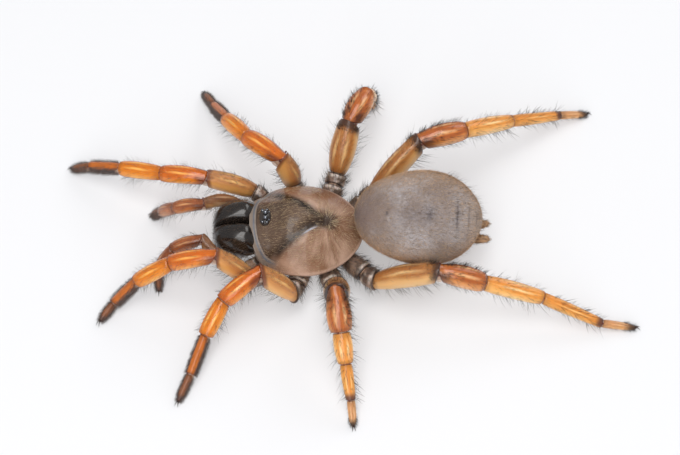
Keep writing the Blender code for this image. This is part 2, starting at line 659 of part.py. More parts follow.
def build():
    for old in list(bpy.data.objects):
        bpy.data.objects.remove(old)
    collection = bpy.data.collections.new("trapdoor_spider")
    bpy.context.scene.collection.children.link(collection)
    empty = bpy.data.objects.new("spider_origin", None)
    collection.objects.link(empty)
    spider = {"collection": collection, "empty": empty}
    make_carapace(spider)
    make_eye_group(spider)
    make_sternum(spider)
    make_abdomen(spider)
    make_pedicel(spider)
    for word, side in (("left", 1), ("right", -1)):
        make_chelicera("chelicera_" + word, side, spider)
        make_fang("fang_" + word, side, spider)
        make_spinneret("spinneret_" + word, side, spider)
    for name, limb in LIMBS.items():
        make_limb(name, limb, spider)
    stand_on_origin(spider)


build()
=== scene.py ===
# Looks of a trapdoor spider, a still life-size museum model in a walking stance.
# Pieces are modelled in millimetres round the animal's middle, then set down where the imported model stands.
# The animal faces -Y, its left side is +X, and its feet stand at z = 0.
import math

import bmesh
import bpy
import numpy as np
from mathutils import Matrix, Vector


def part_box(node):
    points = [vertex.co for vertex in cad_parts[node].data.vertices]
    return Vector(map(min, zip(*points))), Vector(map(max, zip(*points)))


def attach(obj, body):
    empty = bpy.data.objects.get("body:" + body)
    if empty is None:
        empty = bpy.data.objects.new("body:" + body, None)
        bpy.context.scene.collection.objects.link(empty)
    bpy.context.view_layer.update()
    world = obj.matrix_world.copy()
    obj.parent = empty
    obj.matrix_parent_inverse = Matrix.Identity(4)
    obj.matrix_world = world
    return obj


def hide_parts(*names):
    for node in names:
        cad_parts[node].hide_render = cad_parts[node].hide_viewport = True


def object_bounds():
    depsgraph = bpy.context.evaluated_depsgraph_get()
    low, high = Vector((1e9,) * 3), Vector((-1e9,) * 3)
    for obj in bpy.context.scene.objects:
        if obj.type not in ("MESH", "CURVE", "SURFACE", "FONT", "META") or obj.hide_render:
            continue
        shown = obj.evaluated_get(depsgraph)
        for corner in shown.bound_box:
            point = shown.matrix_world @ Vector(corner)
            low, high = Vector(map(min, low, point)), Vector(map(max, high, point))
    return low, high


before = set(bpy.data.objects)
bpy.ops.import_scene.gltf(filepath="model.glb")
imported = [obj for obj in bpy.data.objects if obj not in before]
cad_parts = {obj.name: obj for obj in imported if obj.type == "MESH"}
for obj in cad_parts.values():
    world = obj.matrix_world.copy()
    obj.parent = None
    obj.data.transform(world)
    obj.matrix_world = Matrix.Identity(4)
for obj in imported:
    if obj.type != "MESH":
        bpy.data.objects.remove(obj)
cadBox = [list(corner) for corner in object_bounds()]
print("frame loaded:", len(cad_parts), "nodes")

mm = 0.001
chance = np.random.default_rng(27)

shield = {
    "centreY": -1.5, "front": 4.5, "rear": 4.6, "halfWidth": 4.1, "frontPower": 2.6, "rearPower": 1.85,
    "underside": 3.15, "margin": 3.42, "clypeus": 5.15, "clypeusAngle": 40, "crownPower": 2.3,
    "midline": ((-6.0, 5.2), (-4.7, 5.75), (-3.0, 6.3), (-1.4, 6.1), (0.0, 5.45), (1.6, 4.7), (3.1, 3.7)),
    "grooveEnd": (3.0, -4.2), "grooveDepth": 0.2, "grooveWidth": 0.5, "grooveFade": 1.5,
    "foveaCentre": (0.0, 0.05), "foveaSize": (0.62, 0.26), "foveaDepth": 0.42, "foveaBend": 0.35,
    "spokes": 8, "spokeHeight": 0.035, "spokeReach": 3.6, "spokeFront": -0.8,
    "bandAngle": 46, "bandFade": 12, "lipRise": 0.07, "sideLip": 0.25,
    # share of the way out and width of the lip, and of the seam behind the face plate
    "lip": (0.94, 0.03), "seam": (0.88, 0.016), "seamDepth": 0.8,
    "segments": 144, "rings": 96,
}
shieldLow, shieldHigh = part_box("carapace")
middle = Vector(((shieldLow.x + shieldHigh.x) / 2,
                 shieldLow.y + (shield["front"] - shield["centreY"]) * mm, 0))

# Widths and heights of each segment at its start, middle and end
segmentSizes = {
    "first": {
        "coxa": ((0.95, 1.4, 1.35), (1.3, 1.4, 1.45)), "femur": ((1.35, 1.5, 1.35), (1.45, 1.75, 1.55)),
        "patella": ((1.25, 1.42, 1.3), (1.35, 1.5, 1.3)), "tibia": ((1.2, 1.38, 1.22), (1.22, 1.36, 1.15)),
        "metatarsus": ((1.15, 1.25, 1.1), (1.05, 1.05, 0.92)),
        "tarsus": ((1.05, 1.0, 0.72), (0.85, 0.76, 0.6)),
    },
    "second": {
        "coxa": ((1.0, 1.6, 1.4), (1.3, 1.45, 1.5)), "femur": ((1.4, 1.6, 1.45), (1.5, 1.8, 1.6)),
        "patella": ((1.35, 1.58, 1.4), (1.45, 1.6, 1.4)), "tibia": ((1.25, 1.42, 1.22), (1.25, 1.4, 1.15)),
        "metatarsus": ((1.15, 1.22, 1.05), (1.05, 1.05, 0.9)),
        "tarsus": ((1.0, 0.98, 0.7), (0.82, 0.74, 0.6)),
    },
    "third": {
        "coxa": ((1.0, 1.7, 1.5), (1.3, 1.5, 1.55)), "femur": ((1.5, 2.05, 1.7), (1.6, 2.3, 1.8)),
        "patella": ((1.6, 1.95, 1.6), (1.6, 1.85, 1.6)), "tibia": ((1.45, 1.5, 1.15), (1.4, 1.45, 1.1)),
        "metatarsus": ((1.0, 0.98, 0.75), (0.98, 0.92, 0.7)),
        "tarsus": ((0.7, 0.64, 0.52), (0.66, 0.6, 0.5)),
    },
    "fourth": {
        "coxa": ((1.0, 1.7, 1.55), (1.3, 1.5, 1.55)), "femur": ((1.45, 1.65, 1.5), (1.6, 2.25, 1.8)),
        "patella": ((1.5, 1.75, 1.45), (1.6, 1.85, 1.5)), "tibia": ((1.35, 1.4, 1.1), (1.35, 1.4, 1.1)),
        "metatarsus": ((1.05, 0.98, 0.75), (1.02, 0.92, 0.7)),
        "tarsus": ((0.72, 0.64, 0.52), (0.68, 0.6, 0.5)),
    },
    "palp": {
        "coxa": ((0.75, 0.9, 0.9), (1.1, 1.05, 0.95)), "femur": ((0.9, 1.0, 0.95), (0.95, 1.12, 1.0)),
        "patella": ((0.95, 1.08, 1.0), (0.95, 1.1, 1.0)), "tibia": ((0.95, 1.08, 0.95), (0.95, 1.05, 0.9)),
        "tarsus": ((0.88, 0.88, 0.62), (0.8, 0.76, 0.58)),
    },
}

# Stance: root of the femur, then length, heading and pitch of each segment in degrees.
# A heading is measured from straight ahead outwards; the last pitch follows from the floor.
limbs = {
    "leg1_left": {
        "pair": "first", "side": 1, "root": (4.1, -5.8, 2.6), "lengths": (4.4, 3.8, 3.5, 2.9, 1.9),
        "headings": (-6, -3, 10, 26, 54), "pitches": (50, -22, -36, -43),
    },
    "leg1_right": {
        "pair": "first", "side": -1, "root": (-4.2, -5.7, 2.5), "lengths": (4.15, 3.8, 3.7, 3.0, 2.1),
        "headings": (4, 12, 18, 19, 15), "pitches": (23, -9, -16, -24),
    },
    "leg2_left": {
        "pair": "second", "side": 1, "root": (5.2, -2.6, 2.4), "lengths": (3.8, 3.5, 3.1, 3.3, 2.4),
        "headings": (-6, 32, 57, 67, 65), "pitches": (47, -21, -31, -26),
    },
    "leg2_right": {
        "pair": "second", "side": -1, "root": (-5.2, -2.6, 1.95),
        "lengths": (3.7, 3.8, 3.45, 3.4, 2.4),
        "headings": (15, 43, 56, 65, 65), "pitches": (74, -13, -24, -36),
    },
    "leg3_left": {
        "pair": "third", "side": 1, "root": (5.2, 1.0, 2.4), "lengths": (4.4, 3.0, 2.5, 2.9, 2.2),
        "headings": (87, 99, 100, 100, 97), "pitches": (61, -31, -36, -36),
    },
    "leg3_right": {
        "pair": "third", "side": -1, "root": (-5.8, 1.0, 2.6), "lengths": (4.5, 2.85, 2.5, 2.9, 2.2),
        "headings": (110, 117, 105, 102, 100), "pitches": (51, 0, -60, -70),
    },
    "leg4_left": {
        "pair": "fourth", "side": 1, "root": (4.1, 4.1, 2.4), "lengths": (5.7, 3.75, 4.9, 5.3, 2.8),
        "headings": (172, 175, 173, 165, 177), "pitches": (29, -18, -17, -21),
    },
    "leg4_right": {
        "pair": "fourth", "side": -1, "root": (-4.2, 4.0, 2.4), "lengths": (5.7, 3.75, 4.9, 5.3, 2.8),
        "headings": (144, 163, 151, 153, 162), "pitches": (38, -2, -25, -28),
    },
    "palp_left": {
        "pair": "palp", "side": 1, "root": (3.15, -6.8, 2.25), "lengths": (4.0, 2.6, 2.3, 1.9),
        "headings": (-32, 5, 36, 90), "pitches": (30, -25, -48), "bow": 0.35,
    },
    "palp_right": {
        "pair": "palp", "side": -1, "root": (-3.05, -6.8, 2.25), "lengths": (4.0, 2.6, 2.3, 1.9),
        "headings": (-25, 8, 33, 26), "pitches": (37, -26, -53), "bow": 0.3,
    },
}
limbForm = {
    "sides": 32, "rings": 20, "overshoot": 0.75, "gap": 0.008, "rimReach": 0.06,
    # how far each ring of a rim stands out from the one before it, and its share of that one's size
    "rim": ((0.025, 0.99), (0.018, 0.978), (0.011, 0.965), (0.004, 0.955), (0.0, 0.9), (-0.12, 0.92)),
    "coxaAngles": {"first": 56, "second": 85, "third": 114, "fourth": 146, "palp": 27},
    "coxaReach": (2.3, 3.0), "coxaY": -1.3, "coxaZ": 1.9, "coxaStart": 0.02,
    # share of the hip that is coxa, and half the distance from its shell to the trochanter's
    "coxaShare": 0.7, "coxaGap": 0.05,
    "toeHeight": 0.3, "soleShares": (0.5, 0.6, 0.7, 0.8, 0.9, 1.0), "soleHeight": 0.01,
    "toeBlunt": 0.8, "toeInset": 0.04, "toeDome": 0.03,
    "arch": {"coxa": 0.0, "trochanter": 0.0, "femur": 0.16, "patella": 0.14, "tibia": 0.04,
             "metatarsus": 0.0, "tarsus": 0.03},
    # girth along each segment as shares of its length and of its full size
    "girth": {
        "coxa": ((0.0, 0.86), (0.1, 0.98), (0.5, 1.02), (0.9, 1.0), (1.0, 0.88)),
        "trochanter": ((0.0, 0.84), (0.25, 0.98), (0.7, 1.02), (1.0, 0.95)),
        "femur": ((0.0, 0.82), (0.08, 0.91), (0.2, 0.98), (0.5, 1.03), (0.85, 1.01), (0.95, 1.03),
                  (1.0, 1.01)),
        "patella": ((0.0, 0.92), (0.08, 0.93), (0.22, 0.97), (0.6, 1.04), (0.88, 1.05), (1.0, 0.99)),
        "tibia": ((0.0, 0.91), (0.06, 0.94), (0.18, 0.98), (0.6, 1.02), (0.9, 1.03), (1.0, 0.98)),
        "metatarsus": ((0.0, 0.9), (0.08, 0.94), (0.25, 0.99), (0.85, 1.0), (0.95, 1.02), (1.0, 0.97)),
        "tarsus": ((0.0, 0.86), (0.08, 0.94), (0.2, 1.0), (0.6, 1.02), (0.8, 0.94), (0.92, 0.72),
                   (1.0, 0.36)),
    },
    # degrees by which the underside opens, and the hinge's height as a share of half the segment's;
    # knee and ankle open more, as a spider stretches them by blood pressure
    "hinge": {"knee": (15, 0.75), "ankle": (6, 0.5), "plain": (0.8, 0.0)},
    # share of the width that the shell keeps where a hair pad stands on its sides
    "padded": {"metatarsus": 0.7, "tarsus": 0.64},
}
padPairs = ("first", "second", "palp")


def deselectAll():
    if bpy.context.object and bpy.context.object.mode != "OBJECT":
        bpy.ops.object.mode_set(mode="OBJECT")
    bpy.ops.object.select_all(action="DESELECT")


def pick(piece):
    deselectAll()
    piece.select_set(True)
    bpy.context.view_layer.objects.active = piece


def editAll():
    bpy.ops.object.mode_set(mode="EDIT")
    bpy.ops.mesh.select_all(action="SELECT")


def applyPlace():
    bpy.ops.object.transform_apply(location=True, rotation=True, scale=True)


def rename(piece, name):
    piece.name = name
    piece.data.name = name
    return piece


def setDown(piece, name, place=None):
    # millimetres become metres, the piece goes to its place and its object back to the origin
    pick(piece)
    piece.matrix_world = Matrix.Translation(middle) @ Matrix.Scale(mm, 4) @ (place or Matrix())
    applyPlace()
    if place and place.determinant() < 0:
        # a limb's own axes are left-handed, so its shell comes down inside out
        editAll()
        bpy.ops.mesh.flip_normals()
        bpy.ops.object.mode_set(mode="OBJECT")
    bpy.ops.object.shade_smooth()
    return rename(piece, name)


def cleanShell(piece, merge=0.002):
    pick(piece)
    editAll()
    bpy.ops.mesh.remove_doubles(threshold=merge)
    bpy.ops.mesh.normals_make_consistent(inside=False)
    bpy.ops.object.mode_set(mode="OBJECT")


def cutAway(point, outward):
    # what lies beyond the plane goes, and the cut is closed
    bpy.ops.mesh.bisect(plane_co=point, plane_no=outward, use_fill=True, clear_outer=True)


def joinPieces(pieces, name):
    pick(pieces[0])
    for piece in pieces:
        piece.select_set(True)
    bpy.ops.object.join()
    return rename(bpy.context.object, name)


def addBall(segments, rings, radius=1.0, spot=(0, 0, 0), **more):
    deselectAll()
    bpy.ops.mesh.primitive_uv_sphere_add(segments=segments, ring_count=rings, radius=radius,
                                         location=spot, **more)
    return bpy.context.object


def addLyingBall(segments, rings):
    # its poles point ahead and behind
    piece = addBall(segments, rings, rotation=(math.radians(90), 0, 0))
    applyPlace()
    return piece


def newPlaces(piece, *names, kind="FLOAT_VECTOR"):
    # what the mesh carries at each point for its finish
    for name in names:
        piece.data.attributes.new(name, kind, "POINT")
    return [piece.data.attributes[name].data for name in names]


def paint(piece, finish):
    piece.data.materials.clear()
    piece.data.materials.append(finish)


def between(sizes, t):
    # size at t on the parabola through the sizes at the start, the middle and the end
    start, centre, end = sizes
    t = np.clip(t, 0.0, 1.0)
    return start * (1 - t) * (1 - 2 * t) + 4 * centre * t * (1 - t) + end * t * (2 * t - 1)


def smoothAlong(stations, x):
    if x <= stations[0][0]:
        return stations[0][1]
    for (x0, z0), (x1, z1) in zip(stations, stations[1:]):
        if x <= x1:
            t = (x - x0) / (x1 - x0)
            return z0 + (z1 - z0) * (t + t * t * (3 - 2 * t)) / 2
    return stations[-1][1]


def aim(heading, pitch, side):
    heading, pitch = math.radians(heading), math.radians(pitch)
    return Vector((side * math.sin(heading) * math.cos(pitch), -math.cos(heading) * math.cos(pitch),
                   math.sin(pitch)))


def limbPath(limb):
    # joint centres from the breastplate to the toe, which is lowered until its sole touches the floor
    turn = math.radians(limbForm["coxaAngles"][limb["pair"]])
    reachX, reachY = limbForm["coxaReach"]
    points = [Vector((limb["side"] * reachX * math.sin(turn), limbForm["coxaY"] - reachY * math.cos(turn),
                      limbForm["coxaZ"])), Vector(limb["root"])]
    for length, heading, pitch in zip(limb["lengths"], limb["headings"], limb["pitches"]):
        points.append(points[-1] + aim(heading, pitch, limb["side"]) * length)
    ankle = points[-1]
    last = limb["lengths"][-1]
    heights = segmentSizes[limb["pair"]]["tarsus"][1]
    toeHeight = limbForm["toeHeight"]
    for _ in range(5):
        drop = math.asin((toeHeight - ankle.z) / last)
        lowest = min(ankle.z + (toeHeight - ankle.z) * t
                     - between(heights, t) * smoothAlong(limbForm["girth"]["tarsus"], t) / 2 * math.cos(drop)
                     for t in limbForm["soleShares"])
        toeHeight -= lowest - limbForm["soleHeight"]
    points.append(ankle + aim(limb["headings"][-1], math.degrees(drop), limb["side"]) * last)
    return points


def segmentFrame(start, end):
    axis = (end - start).normalized()
    across = axis.cross(Vector((0, 0, 1))).normalized()
    return across, across.cross(axis), axis


def modelTube(rings, sides):
    # a filled circle extruded from ring to ring, each ring given as (height, shift, rise, width, depth)
    deselectAll()
    bpy.ops.mesh.primitive_circle_add(vertices=sides, radius=0.5, fill_type="NGON", location=(0, 0, 0))
    tube = bpy.context.object
    height, shift, rise, width, depth = rings[0]
    editAll()
    bpy.ops.transform.resize(value=(width, depth, 1), center_override=(0, 0, 0))
    bpy.ops.transform.translate(value=(shift, rise, height))
    for near, far in zip(rings, rings[1:]):
        step = (far[1] - near[1], far[2] - near[2], far[0] - near[0])
        bpy.ops.mesh.extrude_region_move(TRANSFORM_OT_translate={"value": step})
        bpy.ops.transform.resize(value=(far[3] / near[3], far[4] / near[4], 1),
                                 center_override=(far[1], far[2], far[0]))
    bpy.ops.mesh.select_all(action="SELECT")
    bpy.ops.mesh.normals_make_consistent(inside=False)
    return tube


def selectCap(tube, outward):
    # only the large end face that looks outward is selected
    mesh = bmesh.from_edit_mesh(tube.data)
    caps = [face for face in mesh.faces if len(face.verts) > 12 and face.normal.dot(outward) > 0.95]
    for face in mesh.faces:
        face.select_set(face in caps)
    centre = caps[0].calc_center_median()
    bmesh.update_edit_mesh(tube.data)
    return centre


def trimEnd(tube, point, outward):
    # cut the end off at a slant, build its rounded rim ring by ring and sink the middle into a socket
    bpy.ops.mesh.select_all(action="SELECT")
    cutAway(point - outward * limbForm["rimReach"], outward)
    centre = selectCap(tube, outward)
    for push, girth in limbForm["rim"]:
        bpy.ops.mesh.extrude_region_move(TRANSFORM_OT_translate={"value": outward * push})
        centre = centre + outward * push
        bpy.ops.transform.resize(value=(girth, girth, girth), center_override=centre)


def markPlace(piece, length, widths, heights, cuts):
    # for the finish: share along the segment, how far up and how far across each point lies,
    # and how far it lies from the slanted rims, with a far one where the toe has none
    for vert, place, rim in zip(piece.data.vertices, *newPlaces(piece, "place", "rims")):
        t = vert.co.z / length
        place.vector = (t, 2 * vert.co.y / between(heights, t), 2 * vert.co.x / between(widths, t))
        rim.vector = ([outward.dot(point - vert.co) for point, outward in cuts] + [9.0, 9.0])[:3]


def modelSegment(part):
    kind, start = part["kind"], part["start"]
    toe = part["cuts"][1] is None
    turn = Matrix(segmentFrame(start, part["end"])).transposed()
    length = (part["end"] - start).length
    widths, heights = part["sizes"]
    spanStart, spanEnd = part["span"]
    steps = limbForm["rings"]
    low = -limbForm["overshoot"] / length
    high = 1.0 if toe else 1 + limbForm["overshoot"] / length
    rings = []
    for step in range(steps + 1):
        blunt = math.sin(math.pi / 2 * step / steps) ** limbForm["toeBlunt"]
        t = low + (high - low) * (blunt if toe else step / steps)
        inside = min(max(t, 0.0), 1.0)
        girth = smoothAlong(limbForm["girth"][kind], t)
        share = spanStart + (spanEnd - spanStart) * inside
        swell = math.sin(math.pi * inside)
        rings.append((t * length, -part["bow"] * swell, limbForm["arch"][kind] * swell,
                      between(widths, share) * girth * part["slim"], between(heights, share) * girth))
    tube = modelTube(rings, limbForm["sides"])
    back = turn.transposed()
    cuts = [(back @ (point - start), (back @ outward).normalized())
            for point, outward in filter(None, part["cuts"])]
    for point, outward in cuts:
        trimEnd(tube, point, outward)
    if toe:
        selectCap(tube, Vector((0, 0, 1)))
        bpy.ops.mesh.inset(thickness=limbForm["toeInset"], depth=limbForm["toeDome"])
    bpy.ops.object.mode_set(mode="OBJECT")
    markPlace(tube, length, widths, heights, cuts)
    cleanShell(tube)
    return setDown(tube, kind, Matrix.Translation(start) @ turn.to_4x4())


def sweep(name, paths, sides):
    # round-sectioned pieces along smooth curves, each path a row of (point, radius)
    curve = bpy.data.curves.new(name, "CURVE")
    curve.dimensions = "3D"
    curve.bevel_depth = 1.0
    curve.bevel_resolution = sides // 2 - 2
    curve.use_fill_caps = True
    for path in paths:
        spline = curve.splines.new("NURBS")
        spline.points.add(len(path) - 1)
        for spot, (point, radius) in zip(spline.points, path):
            spot.co = (*point, 1.0)
            spot.radius = radius
        spline.use_endpoint_u = True
        spline.order_u = 3
        spline.resolution_u = 4
    piece = bpy.data.objects.new(name, curve)
    bpy.context.scene.collection.objects.link(piece)
    pick(piece)
    bpy.ops.object.convert(target="MESH")
    piece = bpy.context.object
    cleanShell(piece, 0.004)
    return setDown(piece, name)


def jointCuts(limb, kinds, points, frames):
    # at each joint the cuts through the segments before and after it, as (point, outward normal)
    # in the animal's own millimetres
    cuts = {}
    for index in range(1, len(kinds)):
        before, after = frames[index - 1], frames[index]
        normal = (before[2] + after[2]).normalized()
        dorsal = before[1] + after[1]
        dorsal = (dorsal - normal * dorsal.dot(normal)).normalized()
        joint = "knee" if index == 2 else "ankle" if kinds[index] == "metatarsus" else "plain"
        gape, lift = limbForm["hinge"][joint]
        gape = math.radians(gape)
        depth = segmentSizes[limb["pair"]][kinds[index]][1][0] / 2
        hinge = points[index] + dorsal * depth * lift
        away = normal * limbForm["gap"]
        cuts[index] = ((hinge - away, normal * math.cos(gape) - dorsal * math.sin(gape)),
                       (hinge + away, -normal * math.cos(gape) - dorsal * math.sin(gape)))
    return cuts


limbParts = {}


def modelLimb(name, limb):
    # shells, hinge knobs, pale joint skin and claws of one leg or palp
    sizes = segmentSizes[limb["pair"]]
    kinds = list(sizes)
    points = limbPath(limb)
    frames = [segmentFrame(start, end) for start, end in zip(points, points[1:])]
    cuts = jointCuts(limb, kinds, points, frames)
    axis, share = frames[0][2], limbForm["coxaShare"]
    ring = points[0].lerp(points[1], share)
    gap = axis * limbForm["coxaGap"]
    rows = [("coxa", "coxa", points[0], ring, (points[0] + axis * limbForm["coxaStart"], -axis),
             (ring - gap, axis), (0.0, share)),
            ("trochanter", "coxa", ring, points[1], (ring + gap, -axis), cuts[1][0], (share, 1.0))]
    for index, kind in enumerate(kinds[1:], 1):
        endCut = cuts[index + 1][0] if index + 1 in cuts else None
        rows.append((kind, kind, points[index], points[index + 1], cuts[index][1], endCut, (0.0, 1.0)))
    made = {}
    limbParts[name] = []
    for kind, sized, start, end, startCut, endCut, span in rows:
        part = {"kind": kind, "start": start, "end": end, "sizes": sizes[sized], "span": span,
                "bow": limb.get("bow", 0.0) * limb["side"] if kind == "femur" else 0.0,
                "slim": limbForm["padded"].get(kind, 1.0) if limb["pair"] in padPairs else 1.0,
                "cuts": (startCut, endCut)}
        made[kind] = modelSegment(part)
        limbParts[name].append(part)
    made["condyles"] = modelCondyles(name, limb, points, frames)
    made["pouch"] = modelPouch(name, sizes["patella"], points[2], frames[1], frames[2])
    made["skin"] = modelJointSkin(name, sizes, points, frames, ring)
    made["claws"] = modelClaws(name, limb, points[-1] - frames[-1][2] * claws["inset"])
    return made


# reach into both segments, at the hip and elsewhere, share of the width, and half its straight middle;
# the plugs at both ends of the coxa are rows of place and radius
jointSkin = {"hipReach": 0.3, "reach": 0.42, "share": 0.8, "straight": 0.12,
             "hipPlug": ((-0.5, 0.55), (0.1, 0.55), (0.4, 0.5)),
             "ringPlug": ((-0.3, 0.5), (0.0, 0.52), (0.3, 0.5))}


def modelJointSkin(name, sizes, points, frames, ring):
    skins = []
    for index, (widths, heights) in enumerate(list(sizes.values())[1:], 1):
        reach = jointSkin["reach"] if index > 1 else jointSkin["hipReach"]
        size = min(widths[0], heights[0]) / 2 * jointSkin["share"]
        before, after = frames[index - 1][2], frames[index][2]
        skins.append([(points[index] - before * reach, size),
                      (points[index] - before * jointSkin["straight"], size),
                      (points[index] + after * jointSkin["straight"], size),
                      (points[index] + after * reach, size)])
    for centre, plug in ((points[0], "hipPlug"), (ring, "ringPlug")):
        skins.append([(centre + frames[0][2] * along, radius) for along, radius in jointSkin[plug]])
    return sweep(name + "_joint_skin", skins, 16)


# the folded skin below a knee; sunk, bulge and fullness are shares of half the knee's height
pouch = {"sunk": 0.42, "reach": 0.75, "end": 0.3, "middle": 0.2, "bulge": 0.2, "fullness": 0.62}


def modelPouch(name, sizes, knee, before, after):
    up = (before[1] + after[1]).normalized()
    depth = sizes[1][0] / 2
    sunk = knee - up * depth * pouch["sunk"]
    drop = up * depth * pouch["bulge"]
    full = depth * pouch["fullness"]
    path = [(sunk - before[2] * pouch["reach"], pouch["end"]),
            (sunk - before[2] * pouch["middle"] - drop, full),
            (sunk + after[2] * pouch["middle"] - drop, full),
            (sunk + after[2] * pouch["reach"], pouch["end"])]
    return sweep(name + "_pouch", [path], 16)


# radius, share of the way out, and degrees round the joint at the knee and elsewhere
knobs = {"radius": 0.085, "out": 0.93, "knee": (35, 145), "plain": (62,)}


def modelCondyles(name, limb, points, frames):
    # the small dark hinge knobs on the back of the joints
    made = []
    for index, (widths, heights) in enumerate(list(segmentSizes[limb["pair"]].values())[2:], 2):
        before, after = frames[index - 1], frames[index]
        up = (before[1] + after[1]).normalized()
        ahead = (before[0] + after[0]).normalized() * limb["side"]
        for turn in knobs["knee"] if index == 2 else knobs["plain"]:
            turn = math.radians(turn)
            spot = (points[index] + ahead * math.cos(turn) * (widths[0] / 2) * knobs["out"]
                    + up * math.sin(turn) * (heights[0] / 2) * knobs["out"])
            made.append(addBall(12, 8, knobs["radius"], spot))
    joined = joinPieces(made, "knobs")
    applyPlace()
    return setDown(joined, name + "_knobs")


claws = {"length": 0.5, "thickness": 0.075, "taper": 0.85, "spread": 16, "inset": 0.12, "rise": 0.05,
         "arch": 0.15, "tip": 0.05, "steps": 6}


def modelClaws(name, limb, root):
    root = root + Vector((0, 0, claws["rise"]))
    hooks = []
    for tilt in (0,) if limb["pair"] == "palp" else (-claws["spread"], claws["spread"]):
        ahead = aim(limb["headings"][-1] + tilt, 0, limb["side"])
        hook = []
        for step in range(claws["steps"] + 1):
            t = step / claws["steps"]
            height = claws["arch"] * math.sin(math.pi * t) - (root.z - claws["tip"]) * t * t
            hook.append((root + ahead * claws["length"] * t + Vector((0, 0, height)),
                         claws["thickness"] * (1 - claws["taper"] * t)))
        hooks.append(hook)
    return sweep(name + "_claws", hooks, 8)


print("limb tools ready")


def shieldReach(angle):
    ahead = math.cos(angle) > 0
    length = shield["front"] if ahead else shield["rear"]
    power = shield["frontPower"] if ahead else shield["rearPower"]
    return (abs(math.cos(angle) / length) ** power
            + abs(math.sin(angle) / shield["halfWidth"]) ** power) ** (-1 / power)


def sideways(angle):
    # degrees away from straight ahead
    return abs(math.degrees(math.atan2(math.sin(angle), math.cos(angle))))


def shieldRim(angle):
    share = min(1.0, sideways(angle) / shield["clypeusAngle"])
    return shield["margin"] + (shield["clypeus"] - shield["margin"]) * (1 - share ** 2)


def frontBand(angle):
    return 1 - min(1.0, max(0.0, (sideways(angle) - shield["bandAngle"]) / shield["bandFade"]))


def alongGroove(x, y):
    endX, endY = shield["grooveEnd"]
    length = math.hypot(endX, endY)
    return (abs(x) * endX + y * endY) / length, (abs(x) * endY - y * endX) / length, length


def shieldTop(x, y, share, angle):
    along, off, length = alongGroove(x, y)
    fade = max(0.0, min(1.0, along)) * max(0.0, min(1.0, (length - along) / shield["grooveFade"]))
    groove = shield["grooveDepth"] * fade * math.exp(-(off / shield["grooveWidth"]) ** 2)
    crown = smoothAlong(shield["midline"], y) - groove
    if y > shield["spokeFront"]:
        radius = math.hypot(x, y - 0.6)
        wave = math.cos(math.atan2(x, y - 0.2) * shield["spokes"])
        crown += shield["spokeHeight"] * wave * min(1, radius) * max(0.0, 1 - radius / shield["spokeReach"])
    foveaX, foveaY = shield["foveaCentre"]
    wide, deep = shield["foveaSize"]
    bend = y - foveaY + shield["foveaBend"] * x * x
    crown -= shield["foveaDepth"] * math.exp(-((x - foveaX) / wide) ** 4 - (bend / deep) ** 2)
    front = frontBand(angle)
    lip, seam = (math.exp(-((share - centre) / width) ** 2)
                 for centre, width in (shield["lip"], shield["seam"]))
    lip -= shield["seamDepth"] * front * seam
    rise = shield["lipRise"] * (shield["sideLip"] + (1 - shield["sideLip"]) * front)
    blend = share ** shield["crownPower"]
    return shieldRim(angle) * blend + crown * (1 - blend) + rise * lip


def modelShield():
    # a fine ball whose upper half takes the crown and whose lower half is pressed flat
    piece = addBall(shield["segments"], shield["rings"])
    for vert, place, point in zip(piece.data.vertices, *newPlaces(piece, "place", "point")):
        share = min(1.0, math.hypot(vert.co.x, vert.co.y))
        angle = math.atan2(vert.co.x, -vert.co.y)
        above = vert.co.z > 0.01
        share = min(1.0, share / 0.992) if above else share * (1 - 0.03 * min(1.0, -vert.co.z * 8))
        reach = shieldReach(angle) * share
        x, y = reach * math.sin(angle), shield["centreY"] - reach * math.cos(angle)
        base = shield["underside"] + 0.12 * max(0.0, vert.co.z + 0.12)
        vert.co = (x, y, shieldTop(x, y, share, angle) if above else base)
        place.vector = (share if above else 1.1, *alongGroove(x, y)[:2])
        point.vector = (x, y, frontBand(angle))
    editAll()
    bpy.ops.mesh.vertices_smooth(factor=0.5, repeat=2)
    cleanShell(piece)
    return setDown(piece, "shield")


belly = {"size": (7.44, 10.15, 7.2), "centre": (-0.15, 7.4, 5.25), "tilt": 6, "fullness": 0.12,
         "segments": 112, "rings": 80}
# the marks lie a little over to the left, as the belly is rolled on its stalk
bellyMarks = {"roll": 0.15,
              # share behind the middle, half width as a share of a half turn, half length, strength
              "bars": ((0.54, 0.18, 0.03, 0.7), (0.74, 0.17, 0.022, 0.55), (-0.56, 0.03, 0.035, 0.7),
                       (0.1, 0.06, 0.08, 0.6), (0.88, 0.15, 0.014, 0.45))}


def modelBelly():
    sizeX, sizeY, sizeZ = (value / 2 for value in belly["size"])
    piece = addLyingBall(belly["segments"], belly["rings"])
    editAll()
    bpy.ops.transform.resize(value=(sizeX, sizeY, sizeZ), center_override=(0, 0, 0))
    bpy.ops.object.mode_set(mode="OBJECT")
    for vert, place in zip(piece.data.vertices, *newPlaces(piece, "place")):
        behind = vert.co.y / sizeY
        swell = 1 + belly["fullness"] * behind * (1 - behind * behind)
        place.vector = (behind, math.atan2(vert.co.x, vert.co.z) / math.pi, 0.0)
        vert.co.x *= swell
        vert.co.z *= swell
    cleanShell(piece)
    turn = Matrix.Translation(belly["centre"]) @ Matrix.Rotation(math.radians(-belly["tilt"]), 4, "X")
    return setDown(piece, "belly", turn)


jaw = {"size": (2.2, 5.2, 3.2), "baseY": -6.3, "middleZ": 3.75, "parting": 0.1, "tipShare": 0.3,
       "droop": 0.22, "bluntness": 0.85, "fullness": 0.8, "underShield": 0.7, "duck": 0.26,
       "duckFrom": 0.04, "duckOver": 0.22, "flatness": 0.55, "segments": 56, "rings": 40}


